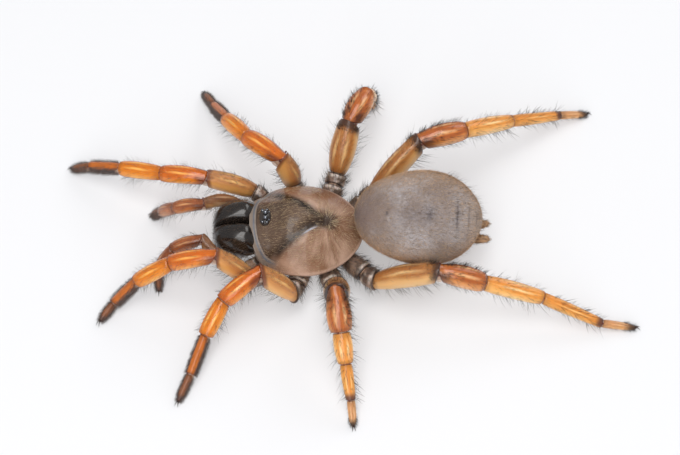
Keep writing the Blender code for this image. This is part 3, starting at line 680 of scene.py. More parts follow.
def modelJaw(name, side):
    width, length, height = jaw["size"]
    piece = addLyingBall(jaw["segments"], jaw["rings"])
    for vert in piece.data.vertices:
        x, y, z = vert.co
        ahead = -abs(y) ** jaw["bluntness"] if y < 0 else y
        girth = max(0.001, math.sqrt(max(0.0, 1 - y * y)))
        if y < 0:
            x, z = (value * girth ** (jaw["fullness"] - 1) for value in (x, z))
            girth = girth ** jaw["fullness"]
        centre = jaw["tipShare"] + (1 - jaw["tipShare"]) * girth
        duck = jaw["duck"] * max(0.0, min(1.0, (y - jaw["duckFrom"]) / jaw["duckOver"]))
        x = -abs(x) ** jaw["flatness"] if x < 0 else x
        vert.co = (side * (jaw["parting"] / 2 + (centre + x) * width / 2), jaw["baseY"] + ahead * length / 2,
                   jaw["middleZ"] + z * (1 - duck) * height / 2 - jaw["droop"] * ahead * ahead)
    editAll()
    cutAway((0, jaw["baseY"] + jaw["underShield"], 0), (0, 1, 0))
    cleanShell(piece)
    return setDown(piece, name)


fangs = {"root": (1.15, -8.2, 1.75), "inward": 0.25, "length": 2.7, "sag": 0.25, "thickness": 0.31,
         "taper": 0.6, "tip": 0.03, "steps": 8}


def modelFangs():
    rootX, rootY, rootZ = fangs["root"]
    hooks = []
    for side in (1, -1):
        hook = []
        for step in range(fangs["steps"] + 1):
            t = step / fangs["steps"]
            point = (side * (rootX - fangs["inward"] * t), rootY + fangs["length"] * t,
                     rootZ - fangs["sag"] * math.sin(math.pi * t))
            hook.append((point, fangs["thickness"] * (1 - t) ** fangs["taper"] + fangs["tip"]))
        hooks.append(hook)
    return sweep("fangs", hooks, 16)


eyes = {"centre": (0.0, -4.7), "base": 5.4, "hill": (1.5, 1.0, 0.95), "hillSunk": 0.25,
        # distance from the midline, distance behind the middle, diameter
        "lenses": ((0.24, 0.0, 0.46), (0.52, -0.24, 0.32), (0.56, 0.12, 0.28), (0.36, 0.28, 0.2)),
        # the way a lens must face to show its painted glint, near halfway between the camera and the key
        # light
        "glintWay": (0.3, -0.05, 0.95)}


def modelEyeHill():
    hill = addBall(48, 24, 0.5, (*eyes["centre"], eyes["base"]), scale=eyes["hill"])
    applyPlace()
    editAll()
    cutAway((0, 0, eyes["base"] - eyes["hillSunk"]), (0, 0, -1))
    cleanShell(hill)
    return setDown(hill, "eye_hill")


def modelLenses():
    wide, long, high = eyes["hill"]
    made = []
    for side in (-1, 1):
        for x, y, size in eyes["lenses"]:
            level = math.sqrt(max(0.05, 1 - (2 * x / wide) ** 2 - (2 * y / long) ** 2)) * high / 2
            made.append(addBall(32, 24, size / 2, (side * x, eyes["centre"][1] + y, eyes["base"] + level)))
    lenses = joinPieces(made, "eye_lenses")
    applyPlace()
    # how far each point of a lens faces the way of its painted glint
    glintWay = Vector(eyes["glintWay"])
    for vert, share in zip(lenses.data.vertices, *newPlaces(lenses, "glintFacing", kind="FLOAT")):
        share.value = vert.normal.dot(glintWay)
    return setDown(lenses, "eye_lenses")


breastplate = {"size": (4.0, 5.4, 1.6), "centreY": -1.3, "centreZ": 2.0, "lipFrom": 0.7, "lipNarrow": 0.5,
               "lipReach": 0.5, "seamAt": 0.36, "seamWidth": 0.12, "seamDepth": 0.12, "flatness": 0.45}


def modelBreastplate():
    wide, long, high = breastplate["size"]
    piece = addBall(64, 40, 0.5)
    for vert in piece.data.vertices:
        x, y, z = vert.co.x * wide, vert.co.y * long, vert.co.z * high
        ahead = max(0.0, -y / (long / 2) - breastplate["lipFrom"]) / (1 - breastplate["lipFrom"])
        seam = breastplate["seamDepth"] * math.exp(
            -((y + long * breastplate["seamAt"]) / breastplate["seamWidth"]) ** 2)
        x *= (1 - breastplate["lipNarrow"] * ahead) * (1 - seam)
        y -= breastplate["lipReach"] * ahead * ahead
        z *= 1 - breastplate["flatness"] * max(0.0, z) / (high / 2) - seam
        vert.co = (x, y + breastplate["centreY"], z + breastplate["centreZ"])
    cleanShell(piece)
    return setDown(piece, "breastplate")


# rows of point and radius
waistPath = (((0.0, 1.45, 2.5), 0.42), ((0.0, 2.3, 2.5), 0.42), ((0.0, 3.0, 2.75), 0.4),
             ((0.0, 3.9, 3.2), 0.5))
spinners = {"root": (0.58, 11.8, 2.9), "length": 1.35, "thickness": 0.7, "splay": 0.12, "rise": 0.1,
            # girth along a spinneret, which has three parts
            "stations": ((-0.35, 1.0), (0.15, 1.02), (0.4, 0.98), (0.46, 0.84), (0.52, 0.95), (0.7, 0.88),
                         (0.76, 0.74), (0.8, 0.8), (0.93, 0.6), (1.0, 0.2))}


def modelSpinners():
    fingers = []
    for side in (1, -1):
        root = Vector((side * spinners["root"][0] + belly["centre"][0], *spinners["root"][1:]))
        way = Vector((side * spinners["splay"], 1.0, spinners["rise"])).normalized() * spinners["length"]
        fingers.append([(root + way * t, spinners["thickness"] / 2 * girth)
                        for t, girth in spinners["stations"]])
    return sweep("spinnerets", fingers, 20)


print("body tools ready")


class Wire:
    # a socket that takes part in sums and products
    def __init__(self, finish, socket):
        self.finish = finish
        self.socket = socket

    def sum(self, operation, first, second):
        return self.finish.node("ShaderNodeMath", {"operation": operation}, {0: first, 1: second})

    def __add__(self, other):
        return self.sum("ADD", self, other)

    def __radd__(self, other):
        return self.sum("ADD", other, self)

    def __sub__(self, other):
        return self.sum("SUBTRACT", self, other)

    def __rsub__(self, other):
        return self.sum("SUBTRACT", other, self)

    def __mul__(self, other):
        return self.sum("MULTIPLY", self, other)

    def __rmul__(self, other):
        return self.sum("MULTIPLY", other, self)

    def __truediv__(self, other):
        return self.sum("DIVIDE", self, other)


class Finish:
    # one material, its nodes made and linked as the expressions on them ask
    def __init__(self, name, roughness=0.5, coat=0.0, coatRoughness=0.1, specular=0.5):
        self.material = bpy.data.materials.new(name)
        self.material.use_nodes = True
        self.tree = self.material.node_tree
        self.shader = self.tree.nodes["Principled BSDF"]
        self.shader.inputs["Roughness"].default_value = roughness
        self.shader.inputs["Coat Weight"].default_value = coat
        self.shader.inputs["Coat Roughness"].default_value = coatRoughness
        self.shader.inputs["Specular IOR Level"].default_value = specular

    def node(self, kind, settings=None, sockets=None, output=0):
        node = self.tree.nodes.new(kind)
        for key, value in (settings or {}).items():
            setattr(node, key, value)
        for key, value in (sockets or {}).items():
            self.plug(node.inputs[key], value)
        return Wire(self, node.outputs[output])

    def plug(self, socket, value):
        if isinstance(value, Wire):
            self.tree.links.new(value.socket, socket)
        elif hasattr(value, "__len__") and len(value) == 3 and socket.type == "RGBA":
            socket.default_value = (*value, 1.0)
        else:
            socket.default_value = value

    def onSkin(self):
        return self.node("ShaderNodeTexCoord", output=3)

    def mix3(self, x, y, z):
        return self.node("ShaderNodeCombineXYZ", {}, {0: x, 1: y, 2: z})

    def noise(self, scale, detail=3.0, vector=None):
        return self.node("ShaderNodeTexNoise", {}, {"Vector": vector or self.onSkin(), "Scale": scale,
                                                    "Detail": detail})

    def ease(self, value, low, high):
        return self.node("ShaderNodeMapRange", {"interpolation_type": "SMOOTHSTEP"},
                         {"Value": value, "From Min": low, "From Max": high})

    def hump(self, value, centre, width):
        # one at the centre, falling smoothly to nothing at a width to each side
        return self.ease(value, centre - width, centre) * (1 - self.ease(value, centre, centre + width))

    def blend(self, factor, first, second):
        return self.node("ShaderNodeMix", {"data_type": "RGBA"}, {0: factor, 6: first, 7: second}, 2)

    def absolute(self, value):
        return self.node("ShaderNodeMath", {"operation": "ABSOLUTE"}, {0: value})

    def vectorOf(self, name):
        # the three numbers that a shell carries at each point under this name
        vector = self.node("ShaderNodeAttribute", {"attribute_name": name}, output=1)
        split = self.node("ShaderNodeSeparateXYZ", {}, {"Vector": vector})
        outputs = split.socket.node.outputs
        return Wire(self, outputs[0]), Wire(self, outputs[1]), Wire(self, outputs[2])

    def bump(self, height, distance, strength=1.0):
        bump = self.node("ShaderNodeBump", {}, {"Height": height, "Distance": distance, "Strength": strength})
        self.plug(self.shader.inputs["Normal"], bump)

    def colour(self, value):
        self.tone = value
        self.plug(self.shader.inputs["Base Color"], value)

    def lay(self, mask, tint):
        # one more tint over those laid so far, where the mask is
        self.colour(self.blend(mask, self.tone, tint))

    def rough(self, value):
        self.plug(self.shader.inputs["Roughness"], value)


# Colours of the horny leg shells: body, back, underside and rims, then the strength of the rim at the start
# and the end, roughness, clear coat and grain
horn = {
    "coxa": ((0.26, 0.165, 0.115), (0.2, 0.13, 0.095), (0.4, 0.27, 0.18), (0.035, 0.022, 0.017),
             0.8, 0.8, 0.3, 0.5, 0.6),
    "trochanter": ((0.34, 0.225, 0.165), (0.24, 0.155, 0.115), (0.42, 0.29, 0.2), (0.04, 0.026, 0.02),
                   0.8, 0.8, 0.28, 0.5, 0.6),
    "femurFront": ((0.68, 0.33, 0.095), (0.5, 0.21, 0.07), (0.58, 0.33, 0.15), (0.13, 0.04, 0.02),
                   0.7, 0.9, 0.3, 0.4, 0.3),
    "femurRear": ((0.72, 0.4, 0.14), (0.4, 0.15, 0.04), (0.62, 0.42, 0.25), (0.04, 0.018, 0.013),
                  0.7, 1.0, 0.3, 0.4, 0.35),
    "patellaFront": ((0.74, 0.215, 0.014), (0.58, 0.125, 0.009), (0.5, 0.15, 0.03), (0.14, 0.025, 0.01),
                     0.9, 0.5, 0.2, 0.7, 0.25),
    "patellaRear": ((0.66, 0.25, 0.06), (0.42, 0.11, 0.025), (0.5, 0.2, 0.07), (0.06, 0.018, 0.01),
                    1.0, 0.7, 0.24, 0.6, 0.4),
    "tibiaFront": ((0.74, 0.24, 0.014), (0.66, 0.18, 0.012), (0.56, 0.19, 0.035), (0.24, 0.05, 0.015),
                   0.6, 0.7, 0.22, 0.6, 0.3),
    "tibiaRear": ((0.84, 0.43, 0.12), (0.74, 0.28, 0.05), (0.64, 0.3, 0.1), (0.22, 0.05, 0.02),
                  0.7, 0.8, 0.26, 0.5, 0.5),
    "metatarsusFront": ((0.58, 0.16, 0.022), (0.5, 0.135, 0.02), (0.12, 0.06, 0.04), (0.13, 0.035, 0.018),
                        0.6, 0.6, 0.32, 0.35, 0.4),
    "metatarsusRear": ((0.76, 0.34, 0.075), (0.7, 0.25, 0.04), (0.6, 0.26, 0.08), (0.09, 0.035, 0.025),
                       0.6, 1.0, 0.32, 0.3, 0.5),
    "tarsusFront": ((0.32, 0.115, 0.045), (0.26, 0.095, 0.04), (0.08, 0.045, 0.038), (0.06, 0.028, 0.02),
                    0.3, 0.7, 0.42, 0.2, 0.5),
    "tarsusRear": ((0.66, 0.34, 0.14), (0.56, 0.26, 0.1), (0.5, 0.24, 0.1), (0.07, 0.03, 0.02),
                   0.6, 1.0, 0.34, 0.3, 0.5),
    "femurPalp": ((0.5, 0.26, 0.11), (0.24, 0.1, 0.045), (0.55, 0.36, 0.22), (0.1, 0.03, 0.018),
                  0.7, 0.8, 0.3, 0.4, 0.4),
    "patellaPalp": ((0.46, 0.15, 0.04), (0.28, 0.08, 0.028), (0.42, 0.17, 0.07), (0.08, 0.025, 0.015),
                    0.8, 0.6, 0.26, 0.6, 0.4),
    "tibiaPalp": ((0.42, 0.14, 0.045), (0.27, 0.08, 0.028), (0.34, 0.14, 0.07), (0.08, 0.025, 0.015),
                  0.5, 0.6, 0.3, 0.5, 0.4),
}
# paler colour of the bare bands and the glassy flanks of some segments: partly the horn's own paleness,
# partly painted glow of light shining through the translucent horn
paleAndGlow = {"patellaFront": (0.98, 0.5, 0.12), "tibiaFront": (0.98, 0.52, 0.12), "patellaRear": (0.86, 0.5, 0.24),
        "tibiaRear": (1.0, 0.74, 0.37), "metatarsusRear": (0.95, 0.58, 0.22), "tarsusRear": (0.8, 0.5, 0.28),
        "patellaPalp": (0.7, 0.36, 0.16), "tibiaPalp": (0.62, 0.3, 0.13), "femurRear": (0.8, 0.51, 0.23),
        "femurFront": (0.8, 0.49, 0.19), "femurPalp": (0.6, 0.36, 0.2)}
# shells that are dark at the sides, below their hair pads
paddedShells = ("metatarsusFront", "tarsusFront")
hornTones = {"pad": (0.07, 0.048, 0.04), "toe": (0.06, 0.035, 0.03), "silver": (0.76, 0.66, 0.58),
             "soot": (0.06, 0.038, 0.028), "scatter": (1.0, 0.45, 0.2)}


def shaded(tint, share):
    return tuple(value * share for value in tint)


def shellFinish(name, body, back, underside, rim, rimStart, rimEnd, roughness, coat, grain):
    finish = Finish(name + "_horn", roughness, coat * 0.9, 0.13, specular=0.3)
    finish.shader.inputs["Subsurface Weight"].default_value = 0.18
    finish.shader.inputs["Subsurface Radius"].default_value = hornTones["scatter"]
    finish.shader.inputs["Subsurface Scale"].default_value = 0.0004
    along, up, across = finish.vectorOf("place")
    fromStart, fromEnd = finish.vectorOf("rims")[:2]
    side = finish.absolute(across)
    mottle = finish.noise(1100, 4.0)
    cloud = finish.noise(420, 3.0)
    # fine streaks run along the segment
    streaks = finish.noise(1.0, 3.0, vector=finish.mix3(along * 1.6, up * 4.2, across * 4.2))
    finish.colour(body)
    finish.lay(finish.ease(up + (cloud - 0.5) * 0.6, 0.42, 0.95), back)
    front = name.endswith("Front")
    strength = 0.2 if name.startswith("femur") else 0.28 if front else 0.4
    finish.lay(finish.ease(streaks, 0.45, 0.7) * strength, shaded(body, 1.3))
    if name in paleAndGlow:
        # painted glow of light through the translucent horn, mixed with its own paler bands and flanks,
        # lightest mid-segment
        bare = finish.hump(side + (mottle - 0.5) * 0.2, 0.4, 0.2) * finish.ease(up, 0.0, 0.35)
        flank = finish.hump(up + (streaks - 0.5) * 0.5, 0.02, 0.62) * 0.75
        pale = (1 - (1 - bare) * (1 - flank)) * finish.hump(along + (mottle - 0.5) * 0.1, 0.54, 0.44)
        finish.lay(pale * 0.9, paleAndGlow[name])
    finish.lay(finish.ease(0 - up + (cloud - 0.5) * 0.4, 0.5, 1.1), underside)
    if name in paddedShells:
        finish.lay(finish.ease(side + (mottle - 0.5) * 0.25, 0.48, 0.72), hornTones["pad"])
    if name.startswith("tarsus"):
        finish.lay(finish.ease(along + (mottle - 0.5) * 0.1, 0.66, 0.9) * 0.85, hornTones["toe"])
    if name in ("coxa", "trochanter"):
        # silvery crescents beside the joints
        first = finish.hump(fromEnd + mottle * 0.3, 0.36, 0.24) * finish.ease(up - along * 0.4, -0.2, 0.5)
        second = finish.hump(fromStart + cloud * 0.5, 0.5, 0.2) * finish.ease(across + cloud - 0.5, 0.1, 0.5)
        finish.lay(1 - (1 - first * 0.8) * (1 - second * 0.5), hornTones["silver"])
        finish.lay(finish.ease(mottle, 0.5, 0.6) * 0.7, hornTones["soot"])
    else:
        inner = finish.ease(fromStart - cloud * 0.3, 0.0, 0.5) * finish.ease(fromEnd - cloud * 0.3, 0.0, 0.3)
        finish.lay((1 - inner) * 0.55, shaded(back, 0.55))
    if rimEnd >= 0.9:
        reach = 0.3 if front else 0.55
        stain = 1 - finish.ease(fromEnd - cloud * reach, 0.0, reach)
        finish.lay(stain * finish.ease(up + mottle * 0.3, -0.3, 0.7) * 0.9, shaded(rim, 1.3))
    if rimStart >= 0.8:
        stain = 1 - finish.ease(fromStart - cloud * 0.9, 0.0, 0.8)
        finish.lay(stain * finish.hump(side, 0.75, 0.5) * 0.85, rim)
    finish.lay((1 - finish.ease(fromStart - mottle * 0.1, 0.0, 0.08)) * rimStart, rim)
    finish.lay((1 - finish.ease(fromEnd - mottle * 0.1, 0.0, 0.07)) * rimEnd, rim)
    finish.rough(roughness + mottle * 0.14 - 0.05)
    finish.bump(finish.noise(5200, 2.0) * grain + mottle * 0.6 + streaks * 0.3, 0.00003, 0.5)
    return finish.material


def skinFinish(name, first, second):
    finish = Finish(name, 0.5, 0.15)
    folds = finish.noise(3000, 3.0)
    finish.colour(finish.blend(folds, first, second))
    finish.bump(folds, 0.00006, 0.6)
    return finish.material


def plainFinish(name, first, second, scale, roughness, coat=0.0, bump=0.00003):
    finish = Finish(name, roughness, coat)
    mottle = finish.noise(scale, 4.0)
    finish.colour(finish.blend(finish.ease(mottle, 0.3, 0.7), first, second))
    finish.bump(finish.noise(scale * 4, 3.0), bump, 0.5)
    return finish.material


shieldTones = {
    "crown": (0.06, 0.034, 0.02), "crownPale": (0.125, 0.08, 0.055), "flank": (0.23, 0.12, 0.07),
    "flankPale": (0.52, 0.34, 0.25), "farFlank": (0.2, 0.08, 0.035), "rear": (0.16, 0.08, 0.036),
    "stripe": (0.012, 0.007, 0.004), "grooveGlint": (0.5, 0.52, 0.6), "pit": (0.035, 0.024, 0.017),
    "plate": (0.24, 0.19, 0.155), "plateLine": (0.12, 0.125, 0.145), "seam": (0.05, 0.035, 0.03),
    "margin": (0.5, 0.33, 0.25),
}


def shieldFinish():
    finish = Finish("shield_shell", 0.36, 0.3, 0.1, specular=0.2)
    share, along, off = finish.vectorOf("place")
    x, y, front = finish.vectorOf("point")
    cloud = finish.noise(330, 4.0)
    fine = finish.noise(2600, 3.0)
    mottle = finish.noise(900, 3.0)
    radius = finish.node("ShaderNodeMath", {"operation": "SQRT"}, {0: x * x + y * y})
    # streaks run out from the pit
    rays = finish.noise(1.0, 4.0, vector=finish.mix3(x / radius * 5.0, y / radius * 5.0, radius * 0.5))
    crown = finish.blend(finish.ease(cloud, 0.3, 0.7), shieldTones["crown"], shieldTones["crownPale"])
    finish.colour(finish.blend(finish.ease(rays * 0.35 + cloud * 0.65, 0.36, 0.62), shieldTones["flank"],
                               shieldTones["flankPale"]))
    finish.lay(finish.ease(off + (cloud - 0.5) * 0.4, -0.2, 0.3) * finish.ease(0 - y, 0.2, 1.2), crown)
    # a darker orange-brown right flank, which is painted shade of the side turned from the lamps; a brown
    # rear slope; and a dark stripe along each groove, partly its own pigment and partly painted shade, set a
    # little off the groove and differently on each side
    finish.lay(finish.ease(0 - x + (cloud - 0.5) * 1.2, 0.9, 2.8) * 0.85, shieldTones["farFlank"])
    finish.lay(finish.ease(y + (rays - 0.5) + (cloud - 0.5) * 1.4, 1.2, 2.8) * 0.7, shieldTones["rear"])
    lean = finish.ease(x, -0.6, 0.6) * 0.35 - 0.25
    stripe = finish.hump(off + lean + (cloud - 0.5) * 0.4, 0.0, 0.7)
    stripe = stripe * finish.ease(along, 0.0, 0.7) * (1 - finish.ease(along, 4.4, 5.8))
    finish.lay(stripe * 0.95, shieldTones["stripe"])
    # a painted highlight along the near wall of the left one, and the dark pit where they meet
    grooveGlint = finish.hump(off + mottle * 0.06, -0.3, 0.13) * finish.hump(along, 1.65, 1.0)
    finish.lay(grooveGlint * finish.ease(x, 0.0, 0.3) * 0.75, shieldTones["grooveGlint"])
    finish.lay((1 - finish.ease(radius + (cloud - 0.5) * 0.6, 0.25, 1.15)) * 0.9, shieldTones["pit"])
    # the narrow face plate in front, with a blue-grey line in it
    finish.lay(front * finish.ease(share, 0.872, 0.892), shieldTones["plate"])
    finish.lay(front * finish.hump(share, 0.925, 0.03), shieldTones["plateLine"])
    finish.lay(front * finish.hump(share, 0.88, 0.012) * 0.8, shieldTones["seam"])
    finish.lay((1 - front) * finish.ease(share, 0.955, 0.985) * 0.6, shieldTones["margin"])
    finish.rough(0.2 + mottle * 0.24)
    finish.bump(fine * 0.3 + mottle * 0.8 + cloud * 2.0 + rays * 0.8, 0.00016, 0.8)
    return finish.material


bellyTones = {
    "skin": (0.25, 0.19, 0.165), "skinPale": (0.42, 0.39, 0.4), "side": (0.5, 0.36, 0.26),
    "spots": (0.15, 0.11, 0.1), "front": (0.17, 0.11, 0.1), "rear": (0.45, 0.33, 0.25),
    "heart": (0.16, 0.13, 0.135), "bars": (0.075, 0.06, 0.07),
}


def bellyFinish():
    finish = Finish("belly_skin", 0.72)
    behind, turn = finish.vectorOf("place")[:2]
    cloud = finish.noise(240, 4.0)
    spots = finish.noise(760, 3.0)
    fine = finish.noise(2200, 3.0)
    roll = turn - bellyMarks["roll"]
    finish.colour(finish.blend(finish.ease(cloud, 0.35, 0.65), bellyTones["skin"], bellyTones["skinPale"]))
    # paler, warmer sides: partly the fringe's own golden tan, partly painted light standing in for light
    # scattered through the hair
    finish.lay(finish.ease(finish.absolute(roll), 0.16, 0.5) * 0.9, bellyTones["side"])
    finish.lay(finish.ease(spots, 0.55, 0.75) * 0.3, bellyTones["spots"])
    finish.lay(finish.ease(0 - behind, 0.55, 0.95) * 0.5, bellyTones["front"])
    # paler rear: partly its own tan, partly painted light scattered through the hair
    finish.lay(finish.ease(behind, 0.5, 0.9) * 0.6, bellyTones["rear"])
    heart = finish.hump(roll + (cloud - 0.5) * 0.06, 0.0, 0.13) * finish.hump(behind, -0.12, 0.5)
    finish.lay(heart * 0.45, bellyTones["heart"])
    for place, wide, long, strength in bellyMarks["bars"]:
        bar = finish.hump(behind + (cloud - 0.5) * 0.05, place, long) * finish.hump(roll, 0.0, wide)
        finish.lay(bar * strength, bellyTones["bars"])
    finish.bump(fine + spots * 0.7, 0.00009, 0.7)
    return finish.material


def jawFinish():
    finish = Finish("jaw_shell", 0.2, 0.7, 0.03, specular=0.35)
    grain = finish.noise(1500, 4.0)
    finish.colour(finish.blend(grain, (0.005, 0.004, 0.0035), (0.02, 0.014, 0.011)))
    finish.rough(0.16 + grain * 0.2)
    finish.bump(finish.noise(4500, 3.0), 0.00001, 0.3)
    return finish.material


def eyeFinish():
    # black glass, with a painted reflection of the key light in it: a faint blue sheen and a pale glint
    finish = Finish("eye_glass", 0.05, 1.0, 0.03)
    glintFacing = finish.node("ShaderNodeAttribute", {"attribute_name": "glintFacing"}, output=2)
    finish.colour((0.006, 0.006, 0.009))
    # painted sheen where a lens turns towards the key light
    finish.lay(finish.ease(glintFacing, 0.6, 0.95), (0.03, 0.035, 0.05))
    # painted glint at the top of each lens
    finish.lay(finish.ease(glintFacing, 0.968, 0.99), (0.5, 0.55, 0.62))
    return finish.material


def hairFinish():
    finish = Finish("hair", 0.5)
    finish.colour(finish.node("ShaderNodeAttribute", {"attribute_name": "tint"}))
    return finish.material


studio = {
    "floorSize": 2.0, "floorColour": (0.56, 0.565, 0.58), "floorGlow": 0.3, "glowColour": (0.98, 0.985, 1.0),
    # the camera looks from the left side; target, rise and distance are in millimetres
    "elevation": 60, "target": (0, 1.2, 3.0), "rise": 0.44, "distance": 240.0, "lens": 158.8,
    # name, place, width and length, watts
    "lights": (("key", (0.07, -0.02, 0.3), (0.15, 0.34), 0.7), ("fill", (0.28, -0.06, 0.18), (0.2, 0.2), 0.3),
               ("rim", (-0.2, 0.16, 0.2), (0.16, 0.16), 0.2)),
    "lightColour": (1.0, 0.985, 0.97), "skyColour": (0.96, 0.975, 1.0), "skyStrength": 0.42,
}


def sceneRig():
    deselectAll()
    bpy.ops.mesh.primitive_plane_add(size=studio["floorSize"], location=(0, 0, -0.00002))
    floor = bpy.context.object
    floor.name = "floor"
    finish = Finish("floor_card", 0.8, specular=0.2)
    finish.colour(studio["floorColour"])
    finish.shader.inputs["Emission Color"].default_value = (*studio["glowColour"], 1)
    finish.shader.inputs["Emission Strength"].default_value = studio["floorGlow"]
    paint(floor, finish.material)

    elevation = math.radians(studio["elevation"])
    back = Vector((math.cos(elevation), 0, math.sin(elevation)))
    up = Vector((-back.z, 0, back.x))
    lens = bpy.data.cameras.new("camera")
    lens.lens = studio["lens"]
    lens.sensor_width = 36
    lens.clip_start, lens.clip_end = 0.01, 20
    eye = bpy.data.objects.new("camera", lens)
    bpy.context.scene.collection.objects.link(eye)
    spot = Vector(studio["target"]) + up * studio["rise"] + back * studio["distance"]
    turn = Matrix((Vector((0, 1, 0)), up, back)).transposed().to_4x4()
    eye.matrix_world = Matrix.Translation(middle + spot * mm) @ turn
    bpy.context.scene.camera = eye

    for name, spot, size, power in studio["lights"]:
        lamp = bpy.data.lights.new(name, "AREA")
        lamp.shape = "RECTANGLE"
        lamp.size, lamp.size_y = size
        lamp.energy = power
        lamp.color = studio["lightColour"]
        holder = bpy.data.objects.new(name, lamp)
        bpy.context.scene.collection.objects.link(holder)
        holder.location = spot
        holder.rotation_mode = "QUATERNION"
        holder.rotation_quaternion = (Vector(spot) - middle).to_track_quat("Z", "Y")
    world = bpy.data.worlds.new("studio")
    world.use_nodes = True
    sky = world.node_tree.nodes["Background"]
    sky.inputs["Color"].default_value = (*studio["skyColour"], 1)
    sky.inputs["Strength"].default_value = studio["skyStrength"]
    bpy.context.scene.world = world
    bpy.context.scene.view_settings.view_transform = "Standard"


hornFinishes = {name: shellFinish(name, *values) for name, values in horn.items()}
plainFinishes = {
    "skin": skinFinish("joint_skin", (0.26, 0.12, 0.06), (0.66, 0.46, 0.34)),
    "pouch": skinFinish("knee_skin", (0.52, 0.37, 0.29), (0.85, 0.74, 0.66)),
    "claws": plainFinish("claw_horn", (0.02, 0.01, 0.008), (0.05, 0.02, 0.012), 2000, 0.25, 0.4),
    "condyles": plainFinish("knob_horn", (0.09, 0.016, 0.01), (0.16, 0.03, 0.015), 2000, 0.25, 0.5),
}


def finishFor(kind, pair):
    if kind in plainFinishes:
        return plainFinishes[kind]
    group = "Front" if pair in padPairs else "Rear"
    for name in (kind + ("Palp" if pair == "palp" else group), kind + group, kind):
        if name in hornFinishes:
            return hornFinishes[name]


def dressLimb(name, limb):
    made = modelLimb(name, limb)
    for kind, piece in made.items():
        paint(piece, finishFor(kind, limb["pair"]))
    groups = {"hip": ("coxa", ["coxa", "trochanter"], ["coxa"]), "thigh": ("femur", ["femur"], ["femur"])}
    if limb["pair"] == "palp":
        groups["calf"] = ("palp", ["patella", "tibia", "condyles"], ["shin"])
        groups["toe"] = ("foot", ["tarsus", "claws"], ["tarsus"])
    else:
        groups["kneecap"] = ("amber", ["patella"], ["patella"])
        groups["calf"] = ("amber", ["tibia", "condyles"], ["tibia"])
        groups["toe"] = ("foot", ["metatarsus", "tarsus", "claws"], ["foot"])
    for group, (slot, kinds, nodes) in groups.items():
        piece = joinPieces([made[kind] for kind in kinds], name + "_" + group)
        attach(piece, "root")
        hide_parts(*[name + "_" + node for node in nodes])
    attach(joinPieces([made["skin"], made["pouch"]], name + "_joint_skin"), "root")


